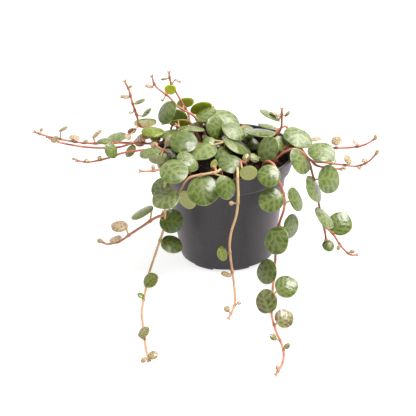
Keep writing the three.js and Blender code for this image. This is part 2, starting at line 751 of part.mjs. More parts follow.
/** A leaf in its place: its blade, and the petiole from the nearest point of its stem. */
function leafAt(middle, width, normal, { name, ways }) {
  const radius = width / 2;
  const foot = ways.reduce((best, point) => (
    point.distanceToSquared(middle) < best.distanceToSquared(middle) ? point : best));
  const toBase = foot.clone().sub(middle);
  toBase.addScaledVector(normal, -toBase.dot(normal));
  if (toBase.length() < STEM_RADIUS) {
    toBase.copy(UP).negate().addScaledVector(normal, normal.z);
  }
  toBase.normalize();
  const base = middle.clone().addScaledVector(toBase, radius);
  const thickness = width < YOUNG_WIDTH ? YOUNG_THICKNESS : BLADE_THICKNESS;
  const leaf = { middle, normal, radius, toBase, base, foot, thickness, owner: name };
  return { ...leaf, points: testedPoints(leaf) };
}

/** Shifts a leaf towards the light or back, and tilts it, until it is clear of what is placed. */
function placeLeaf([x, y, z, width, turn, rise], plant, placed) {
  const wanted = new THREE.Vector3(x, y, z);
  for (const tilt of TILT_TRIES) {
    const normal = direction(turn, Math.min(STEEPEST_RISE, rise + tilt));
    for (let i = 0; i <= 2 * SHIFT_TRIES; i += 1) {
      const steps = (i % 2 === 0 ? -1 : 1) * Math.ceil(i / 2);
      const middle = wanted.clone().addScaledVector(plant.away, steps * SHIFT_STEP);
      const leaf = leafAt(middle, width, normal, plant);
      if (isClear(leaf, placed)) return leaf;
    }
  }
  return null;
}

/** A blade: a slab whose top is domed, with one corner at the petiole. */
function bladeSolid({ middle, normal, toBase, radius, thickness }) {
  const sides = thickness < BLADE_THICKNESS ? YOUNG_BLADE_SIDES : BLADE_SIDES;
  const blade = new THREE.CylinderGeometry(BLADE_TAPER * radius, radius, BLADE_EDGE, sides);
  const place = blade.attributes.position;
  for (let i = 0; i < place.count; i += 1) {
    const isTopMiddle = place.getY(i) > 0 && Math.hypot(place.getX(i), place.getZ(i)) < radius / 2;
    if (isTopMiddle) place.setY(i, thickness - BLADE_EDGE / 2);
  }
  blade.translate(0, (BLADE_EDGE - thickness) / 2, 0);
  blade.scale(Math.min(1, LEAST_BREADTH + BREADTH_GROWTH * 2 * radius), 1, 1);
  const across = new THREE.Vector3().crossVectors(normal, toBase);
  blade.applyMatrix4(new THREE.Matrix4().makeBasis(across, normal, toBase).setPosition(middle));
  return solidOf(blade);
}

/** A petiole: a slim straight stalk from inside the stem to inside the blade. */
function petioleSolid({ middle, toBase, radius, foot }) {
  const tip = middle.clone().addScaledVector(toBase, radius * (1 - PETIOLE_INTO_BLADE));
  const section = polygon(PETIOLE_SIDES, PETIOLE_RADIUS);
  const path = new THREE.LineCurve3(foot, tip);
  return solidOf(new THREE.ExtrudeGeometry(section, { steps: 1, extrudePath: path }));
}

/** The stems of all vines, and the points on each where its leaves may stand. */
function growStems(vines, placed) {
  return vines.map(({ name, root, stem, branches = [], leaves, away = TOWARD_LIGHT }) => {
    const curves = [mainCurve({ root, stem }), ...branches.map(curveThrough)];
    const points = curves.flatMap((curve) => curve.getSpacedPoints(Math.round(curve.getLength())));
    for (const middle of points) {
      placed.balls.push({ middle, radius: STEM_RADIUS, owner: name });
    }
    const ways = points.filter(({ x, y, z }) => z > STEM_COLLAR || Math.hypot(x, y) > RIM_RADIUS);
    return { name, curves, ways, leaves, away };
  });
}

/** The leaves of a plant that find their place. One that finds no room is left out. */
function growLeaves(plant, placed) {
  const leaves = [];
  for (const row of plant.leaves) {
    const leaf = placeLeaf(row, plant, placed);
    if (leaf) {
      leaves.push(leaf);
      placed.leaves.push(leaf);
      for (const ball of ballsAlong(leaf.foot, leaf.base, PETIOLE_RADIUS)) {
        placed.balls.push({ ...ball, owner: plant.name });
      }
    }
  }
  return leaves;
}

/** Every vine's stem and leaves, in one solid for each vine. */
function growPlant(vines) {
  const placed = { balls: [], leaves: [] };
  return growStems(vines, placed).map((plant) => {
    const leaves = growLeaves(plant, placed);
    const pieces = [
      ...plant.curves.map(stemSolid),
      ...leaves.flatMap((leaf) => [bladeSolid(leaf), petioleSolid(leaf)]),
    ];
    return { name: plant.name, solid: pieces.reduce((whole, piece) => whole.add(piece)) };
  });
}

/** A named mesh of a solid, with its own material. */
function meshOf(name, solid, finish) {
  const mesh = new THREE.Mesh(geometryOf(solid), new THREE.MeshStandardMaterial(finish));
  mesh.name = name;
  return mesh;
}

const random = seededRandom(RANDOM_SEED);
const vines = [...PLACED_VINES, ...HANGING_VINES.map((rule) => hangingVine(rule, random))];
const pottedPlant = new THREE.Group();
pottedPlant.add(meshOf('pot', potSolid(), POT_FINISH));
pottedPlant.add(meshOf('soil', soilSolid(vines), SOIL_FINISH));
for (const { name, solid } of growPlant(vines)) {
  pottedPlant.add(meshOf(name, solid, LEAF_FINISH));
}

export default pottedPlant;
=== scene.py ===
"""The looks of a potted string of turtles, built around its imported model.

Lengths are in millimetres, as in the part's own source, until a mesh is made, which is in metres.
The vines, their leaves and the rule that places them are the same as in that source. +Z is up, and
the front of the plant, where its light comes from, is -Y.
"""

import math
from types import SimpleNamespace

import bpy
import numpy as np
from mathutils import Matrix, Vector


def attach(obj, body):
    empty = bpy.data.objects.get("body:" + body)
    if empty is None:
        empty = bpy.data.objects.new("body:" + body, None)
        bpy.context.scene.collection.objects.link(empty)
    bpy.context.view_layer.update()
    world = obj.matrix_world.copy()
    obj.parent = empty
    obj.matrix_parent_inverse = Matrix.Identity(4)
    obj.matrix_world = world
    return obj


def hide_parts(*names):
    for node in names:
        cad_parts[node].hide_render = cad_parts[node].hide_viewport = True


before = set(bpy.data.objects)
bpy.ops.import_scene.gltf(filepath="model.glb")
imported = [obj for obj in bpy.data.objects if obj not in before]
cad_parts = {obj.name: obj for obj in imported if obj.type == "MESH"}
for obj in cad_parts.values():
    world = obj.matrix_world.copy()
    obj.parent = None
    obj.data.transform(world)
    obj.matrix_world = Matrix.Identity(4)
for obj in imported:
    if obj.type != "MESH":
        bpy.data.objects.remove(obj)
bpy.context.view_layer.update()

MM = 0.001

# The pot, whose nominal size is its outer diameter at the rim.
POT_HEIGHT = 47.3
RIM_RADIUS = 30
LIP_HEIGHT = 8.3
LIP_FOOT_RADIUS = 27.6
LIP_STEP = 0.4
BODY_TOP_RADIUS = 25.9
FOOT_RADIUS = 20.5
FOOT_BEVEL = 0.8
WALL = 1.2
NOTCH_COUNT = 8
NOTCH_WIDTH = 7.3
NOTCH_HEIGHT = 1.1
NOTCH_REACH = 2.4
FIRST_NOTCH_TURN = -100
# The corners of a box that cuts a notch, and those of each of its faces.
BOX_CORNERS = [(u, v, w) for u in (-1, 1) for v in (-1, 1) for w in (-1, 1)]
BOX_FACES = ((0, 1, 3, 2), (4, 6, 7, 5), (0, 4, 5, 1), (2, 3, 7, 6), (0, 2, 6, 4), (1, 5, 7, 3))

# The wall's outer and inner line, from the foot to the rim, as radius and height, and how much each
# of their corners is rounded. An arc takes up no more than a share of each side.
LIP_FOOT = POT_HEIGHT - LIP_HEIGHT
OUTER_LINE = [
    (FOOT_RADIUS - FOOT_BEVEL, 0),
    (FOOT_RADIUS, FOOT_BEVEL),
    (BODY_TOP_RADIUS, LIP_FOOT - LIP_STEP),
    (LIP_FOOT_RADIUS, LIP_FOOT),
    (RIM_RADIUS, POT_HEIGHT),
]
INNER_LINE = [
    (FOOT_RADIUS - WALL, WALL),
    (BODY_TOP_RADIUS - WALL, LIP_FOOT - LIP_STEP + WALL),
    (LIP_FOOT_RADIUS - WALL, LIP_FOOT + WALL),
    (RIM_RADIUS - WALL, POT_HEIGHT),
]
OUTER_ROUNDING = [0.3, 0.5, 0.5, 1.2, 0.55]
INNER_ROUNDING = [0.8, 1.0, 1.0, 0.55]
MOST_ROUNDED_SHARE = 0.45
ROUND_STEPS = 6
POT_SIDES = 192
SHARP_ANGLE = 35

# The soil, its waved top and how far single points of it stand out.
SOIL_TOP = 42.4
SOIL_GAP = 0.4
SOIL_UNEVENNESS = 0.35
SOIL_WAVE_X = 0.55
SOIL_WAVE_Y = 0.6
SOIL_WAVE_START = 1
SOIL_RINGS = 60
SOIL_SIDES = 160
SOIL_ROUGHNESS = 0.35
SOIL_MARGIN = 0.5
SOIL_SEED = 7

# The loose crumbs on the soil: lumps of two rings of points, in random sizes and proportions.
CRUMB_COUNT = 900
CRUMB_MARGIN = 1.2
CRUMB_SIZES = (0.3, 0.95)
CRUMB_PROPORTIONS = (0.45, 1.0)
CRUMB_LIFT = 0.2
CRUMB_SIDES = 6
CRUMB_POLE = 0.95
CRUMB_RING_HEIGHT = 0.6
CRUMB_RING_RADIUS = 0.8
RING_HEIGHT_RANGE = (0.7, 1.1)
RING_RADIUS_RANGE = (0.75, 1.15)
CRUMB_SEED = 11

# Stems, which stand in holes in the soil. They swell at their nodes and are slightly waved, with a
# turn in radians for each millimetre. A tube's point stands out by a share of its radius.
STEM_RADIUS = 0.6
STEM_TIP_RADIUS = 0.42
STEM_FOOT = 36.5
STEM_COLLAR = 45
STEM_SIDES = 10
STEM_STEP = 0.7
LEAST_STEM_STEPS = 6
CURVE_STEPS = 200
NODE_SWELLING = 0.5
NODE_LENGTH = 0.7
STEM_WAVE_DEPTH = 0.05
STEM_WAVE_TURN = 0.9
TUBE_END = 0.6

# Petioles, the leaves' own stalks: where they end under the blade, as a share of its radius and a
# depth, how far they sag, and how they flare at both ends.
PETIOLE_RADIUS = 0.34
PETIOLE_SIDES = 7
PETIOLE_STEPS = 7
PETIOLE_REACH = 0.86
PETIOLE_DEPTH = 0.15
PETIOLE_SAG = 0.25
FULL_SAG_LENGTH = 3
PETIOLE_GIRTH = 1.05
YOUNG_PETIOLE_GIRTH = 0.8
FOOT_FLARE = 0.5
FOOT_FLARE_FADE = 6
END_FLARE = 0.25
END_FLARE_POWER = 4

# The pair of tiny folded leaves at a growing tip, which goes the way of the stem's last part. Their
# form is a part of a sine wave.
BUD_LENGTH = 1.5
BUD_RADIUS = 0.42
BUD_DEPTH = 0.3
BUD_SPREAD = 0.55
BUD_RISE = 0.2
BUD_SIDES = 8
BUD_STEPS = 6
BUD_START = 0.12
BUD_SPAN = 0.8
BUD_POWER = 0.8
BUD_PALENESS = 0.5
BUD_YELLOWNESS = 0.3
TIP_SHARE = 0.97

# Leaves: round, slightly domed blades with a thick edge. Young ones are thinner and narrower.
BLADE_THICKNESS = 1.1
YOUNG_THICKNESS = 0.8
BLADE_EDGE = 0.6
YOUNG_WIDTH = 5.5
LEAST_BREADTH = 0.66
BREADTH_GROWTH = 0.05

# The mesh of a blade: its sides and the rings on its top, which stand closer to the rim, then those
# round its rim, as angles, and under it.
BLADE_MESH = (44, 15)
YOUNG_BLADE_MESH = (24, 7)
RING_SPACING = 0.8
RIM_ANGLES = (65, 35, 0, -35, -65)
UNDER_RINGS = 5

# A blade's outline, as shares of its radius: drawn out at the tip, drawn in at the petiole, and
# waved, by the count and depth of each wave. Waves start at random, up to a latest start in radians.
MEAN_OUTLINE = 0.975
TIP_REACH = (0.01, 0.06)
TIP_SPREAD = 0.4
BASE_DEPTH = 0.03
BASE_SPREAD = 0.3
OUTLINE_WAVES = ((2, 0.012), (3, 0.012), (5, 0.008))
LATEST_START = 6

# The relief of a blade's top: grooves along the veins, puffs between them, and none at the rim.
VEIN_DEPTH = 0.05
VEIN_SPREAD = 0.07
FULL_VEIN_RADIUS = 5
PUFF_HEIGHT = 0.03
PUFF_REACH = 0.25
RELIEF_FADE = 8

# How a blade is bent, as shares of its radius: its rim hangs below its middle, its tip and its
# sides bend down or up by a random part, and its rim is waved.
BLADE_SAG = 0.065
BLADE_BEND = 0.03
TIP_BEND_RANGE = (-0.5, 1)
SIDE_BEND_RANGE = (-0.6, 1)
RIM_WAVES = 3
RIM_WAVE_DEPTH = 0.02
RIM_WAVE_POWER = 3

# The pale veins of a blade, on its one half: lines from start to end, and the width of each, in
# shares of the blade's radius. Across is 0 on the midrib, and along runs from -1 at the petiole to
# 1 at the tip. The other half has the same veins, set a little further along.
VEINS = [
    ((0, -1), (0, 0.88), 0.04),
    ((0, -0.78), (0.48, -0.56), 0.025),
    ((0.48, -0.56), (0.84, -0.3), 0.015),
    ((0, -0.36), (0.44, -0.1), 0.03),
    ((0.44, -0.1), (0.86, 0.12), 0.015),
    ((0, 0.1), (0.38, 0.38), 0.025),
    ((0.38, 0.38), (0.64, 0.62), 0.01),
    ((0, 0.48), (0.26, 0.76), 0.015),
    ((0.52, -0.52), (0.48, -0.1), 0.005),
    ((0.5, -0.08), (0.42, 0.36), 0.005),
]
VEIN_STAGGER = 0.09

# The looks of leaves: how pale they are, how much of them is patched with brown, and how far they turn
# from green to lime. Paleness is partly each leaf's own tone and partly painted light and shade: the dark
# look paints shade on leaves that lie in shade, and the pale look paints light on some leaves that others
# shade.
LOOKS = {
    "green": (0.6, 0.0, 0.1),
    "pale": (0.8, 0.0, 0.05),
    "dark": (0.0, 0.0, 0.15),
    "silver": (0.5, 0.05, 0.0),
    "lime": (0.15, 0.0, 0.9),
    "olive": (0.45, 0.35, 0.35),
    "flushed": (0.75, 0.3, 0.0),
    "patched": (0.5, 0.75, 0.0),
    "spotted": (0.8, 0.86, 0.0),
    "young": (0.6, 1.0, 0.0),
    "bronze": (0.45, 0.8, 0.55),
}
# How yellow the stem and side branches of some vines are. The others are red.
STEM_YELLOWNESS = {
    "front_bare_vine": (0.9,),
    "front_stem_over_rim": (0.8, 0.8),
    "left_trailing_vine": (0.9, 0.5, 0.1),
}
# The order of a vine's two materials.
LEAF_SKIN, STEM_SKIN = 0, 1

# Colours as seen on screen, from 0 to 255. Of a pair, each is one end of a blend.
DEEP_GREEN = ((28, 60, 0), (48, 84, 0))
PALE_GREEN = ((48, 88, 0), (72, 108, 14))
YOUNG_TAN = ((164, 148, 84), (172, 144, 120))
BROWN_PATCH = ((108, 66, 60), (122, 86, 68))
VEIN_LINE = ((118, 138, 62), (162, 174, 108))
TAN_LINE = (206, 192, 152)
LIME_TOP = ((92, 118, 0), (122, 144, 6))
LIME_LINE = (158, 172, 60)
PALE_UNDER = ((128, 140, 88), (112, 130, 60))
# Lime undersides: their own lime colour, brightened to paint the light that shines through backlit blades.
LIME_UNDER_AND_PAINTED_BACKLIGHT = ((190, 212, 0), (168, 192, 0))
UNDER_LINE = (184, 196, 118)
WAX_TINT = (250, 240, 252)
RED_STEM = ((176, 98, 74), (202, 134, 106))
YELLOW_STEM = ((196, 184, 120), (212, 176, 130))
DARK_NODE = (136, 70, 52)
STALK = ((190, 124, 96), (188, 164, 116))
STEM_STREAK = (180, 150, 124)
POT_GREY = ((34, 31, 33), (44, 40, 43))
POT_DUST = (84, 74, 78)
POT_SHEEN = (205, 180, 205)
# The soil's own near-black, made darker still to paint the shade that lies on it in the pot.
DARK_SOIL_AND_PAINTED_SHADE = ((5, 3, 1), (20, 13, 7))
RED_FIBRE = (84, 48, 32)
SURFACE_GREY = (160, 160, 160)
WHITE = (255, 255, 255)

# Noise: its scale, its detail and, where it isn't plain, its roughness. The scale is for one radius
# of a blade on leaves, for one radian round the pot in its streaks, and elsewhere for a metre.
LEAF_WARP = (1.7, 3.0)
LEAF_MOTTLE = (9.0, 4.0, 0.7)
LEAF_CLOUD = (1.4, 1.0)
LEAF_PATCHES = (1.9, 2.0)
STEM_CLOUD = (260.0, 3.0)
STEM_GRAIN = (1400.0, 2.0)
POT_STREAKS = (26.0, 3.0, 0.6)
POT_GRAIN = (2600.0, 2.0)
POT_DUST_CLOUD = (90.0, 4.0, 0.7)
SOIL_CLOUD = (420.0, 4.0, 0.7)
LEAF_NET_SCALE = 4.6
LEAF_GRAIN_SCALE = 24.0
SOIL_CELL_SCALE = 900.0

# Steps: the values between which a mark begins and ends, and what it is worth at each, which is 0
# and 1 where the step doesn't say. Vein steps go by the distance from a vein.
VEIN_CORE = (-0.01, 0.07, 1.0, 0.0)
VEIN_HALO = (0.0, 0.26, 0.32, 0.0)
VEIN_FREE = (0.02, 0.08)
NET_THREADS = (0.0, 0.09, 0.25, 0.0)
CLOUD_STEP = (0.35, 0.65)
YOUNG_STEP = (0.8, 1.0)
TAN_STEP = (0.0, 0.8, 0.4, 0.9)
SPECKLES = (0.48, 0.72, 0.0, 0.4)
PATCHES = (0.64, 0.5)
BROWN_CORE = (0.3, 0.8, 0.36, 0.75)
LIME_MOTTLE = (0.35, 0.7)
LEAF_MARGIN = (0.9, 0.97, 0.0, 0.45)
UNDER_MOTTLE = (0.4, 0.75)
TOP_SIDE = (0.1, 0.35)
LEAF_ROUGHNESS = (0.3, 0.7, 0.3, 0.44)
STEM_FADE = (0.25, 1.0, 1.0, 0.45)
STALK_STEP = (0.0, 0.4)
STEM_STREAKS = (0.5, 0.7, 0.0, 0.25)
STEM_ROUGHNESS = (0.3, 0.7, 0.38, 0.52)
POT_STREAK_STEP = (0.35, 0.7)
POT_DUST_STEP = (0.55, 0.8, 0.0, 0.25)
POT_ROUGHNESS = (0.3, 0.7, 0.4, 0.5)
SOIL_STEP = (0.4, 0.65)
FIBRE_STEP = (0.8, 0.9, 0.0, 0.7)

# What else the materials need: strengths, and each skin's relief as a depth in metres and a share.
LEAF_SEED_SPREAD = 40.0
WARP_STRENGTH = 0.56
LIME_CORE = 0.5
UNDER_CORE = 0.3
UNDER_BROWN = 0.55
VEIN_RELIEF = -0.3
GRAIN_RELIEF = 0.3
LEAF_BUMP = (0.00007, 0.6)
NODE_DARKNESS = 0.5
STEM_BUMP = (0.00008, 0.5)
DRAW_MARKS = 12.0
STREAK_RELIEF = 0.7
POT_GRAIN_RELIEF = 0.4
POT_BUMP = (0.00006, 0.5)
SOIL_BUMP = (0.0004, 0.8)

# The camera, at the photo's viewing angle: the point it looks at, how far off it stands, its rise
# above level and its roll in degrees, and its lens.
CAMERA_AIM = (-7.96, 0, 20.36)
CAMERA_DISTANCE = 500
CAMERA_RISE = 26.72
CAMERA_ROLL = -2.24
FOCAL_PIXELS = 1158
PICTURE_PIXELS = 416
SENSOR_WIDTH = 36
CAMERA_CLIP = (0.01, 10)

# The soft lights, in metres and watts: the place, size and power of each.
LIGHTS = {
    "right_softbox": ((0.48, 0.34, 0.7), 0.48, 4.6),
    "top_softbox": ((0.34, -0.22, 0.84), 0.46, 10.8),
}
LIGHT_AIM = (0, 0, 0.04)
LIGHT_TINT = (1.0, 0.96, 0.98)

# The white room, which is dimmer as a light towards -Y, and the white surface, which glows a little
# and lies just under the pot.
DIM_SIDE = (-0.7, 0.35)
DIM_LIGHT = 0.22
SURFACE_HALF = 3000
SURFACE_DROP = 0.3
SURFACE_GLOW = 0.78

# How far blades, petioles and stems of different plants keep from each other and from the pot,
# and the shifts and tilts that a leaf tries, in this order, until it is clear.
CLEARANCE = 0.4
SHIFT_STEP = 0.7
SHIFT_TRIES = 12
SHIFTS = [0] + [side * steps for steps in range(1, SHIFT_TRIES + 1) for side in (1, -1)]
TILT_TRIES = (0, 12, -12, 25, -25)
STEEPEST_RISE = 88
# A blade is tested at its middle and on rings: each ring's share of the radius and its points. A
# petiole is tested along its length, but not at the points in its stem.
TESTED_RINGS = ((0.55, 6), (1, 12))
POINTS_IN_STEM = 2
UP = np.array([0.0, 0.0, 1.0])
TOWARD_LIGHT = np.array([0.0, -0.893, 0.45])
NEARLY_UP = 0.9

# The vines at the back, which hang over the rim and run on along the surface: the turn of each
# about Z where it crosses the rim, how far it swings sideways below, the height where it ends, or
# the length that it lies on the surface, and how many leaves it carries.
HANGING_VINES = [
    {"name": "back_vine_right", "turn": 30, "swing": 24, "bottom": 22, "lies": 0, "leaf_count": 6},
    {"name": "back_vine_middle", "turn": 90, "swing": -12, "bottom": 0, "lies": 22, "leaf_count": 9},
    {"name": "back_vine_inner", "turn": 105, "swing": -4, "bottom": 14, "lies": 0, "leaf_count": 6},
    {"name": "back_vine_outer", "turn": 120, "swing": 2, "bottom": 0, "lies": 12, "leaf_count": 8},
    {"name": "back_vine_left", "turn": 134, "swing": 8, "bottom": 24, "lies": 0, "leaf_count": 5},
]
HANGING_ROOT_RADIUS = 21
HANGING_STEM_RADIUS = 33.6
HANGING_RIM_POINTS = [(27, 49.4), (31.6, 50.2)]
HANGING_STEP = 8
LYING_HEIGHT = 1
LANDING_RADIUS = 4

# How far a hanging stem sways to both sides, how many radians of sway it has from rim to end, and
# how far it veers for each millimetre on the surface; in degrees.
SWAY = 2.5
SWAY_LENGTH = 4
VEER = 0.6

# The leaves of a hanging vine: their widths, where the first and the last stand along the stem,
# how far out they are set, how much of a width stays above the surface, and the ways they face.
OLD_LEAF_WIDTH = 10.5
YOUNG_LEAF_WIDTH = 3.5
WIDTH_SPREAD = 1.6
STALK_LENGTH = 1.8
FIRST_LEAF_SHARE = 0.12
LAST_LEAF_SHARE = 0.99
OUTWARD_OFFSET = 0.6
LYING_LEAF_SHARE = 0.42
CROWN_RISE = 70
HANGING_RISE = 30
RISE_SPREAD = 15
TURN_SPREAD = 25
AWAY_RISE = 20

# The seeds of the random draws, and the generator's own numbers.
RANDOM_SEED = 20
VINE_SEED_STEP = 100
GENERATOR_FACTOR = 1664525
GENERATOR_SHIFT = 1013904223
GENERATOR_RANGE = 4294967296

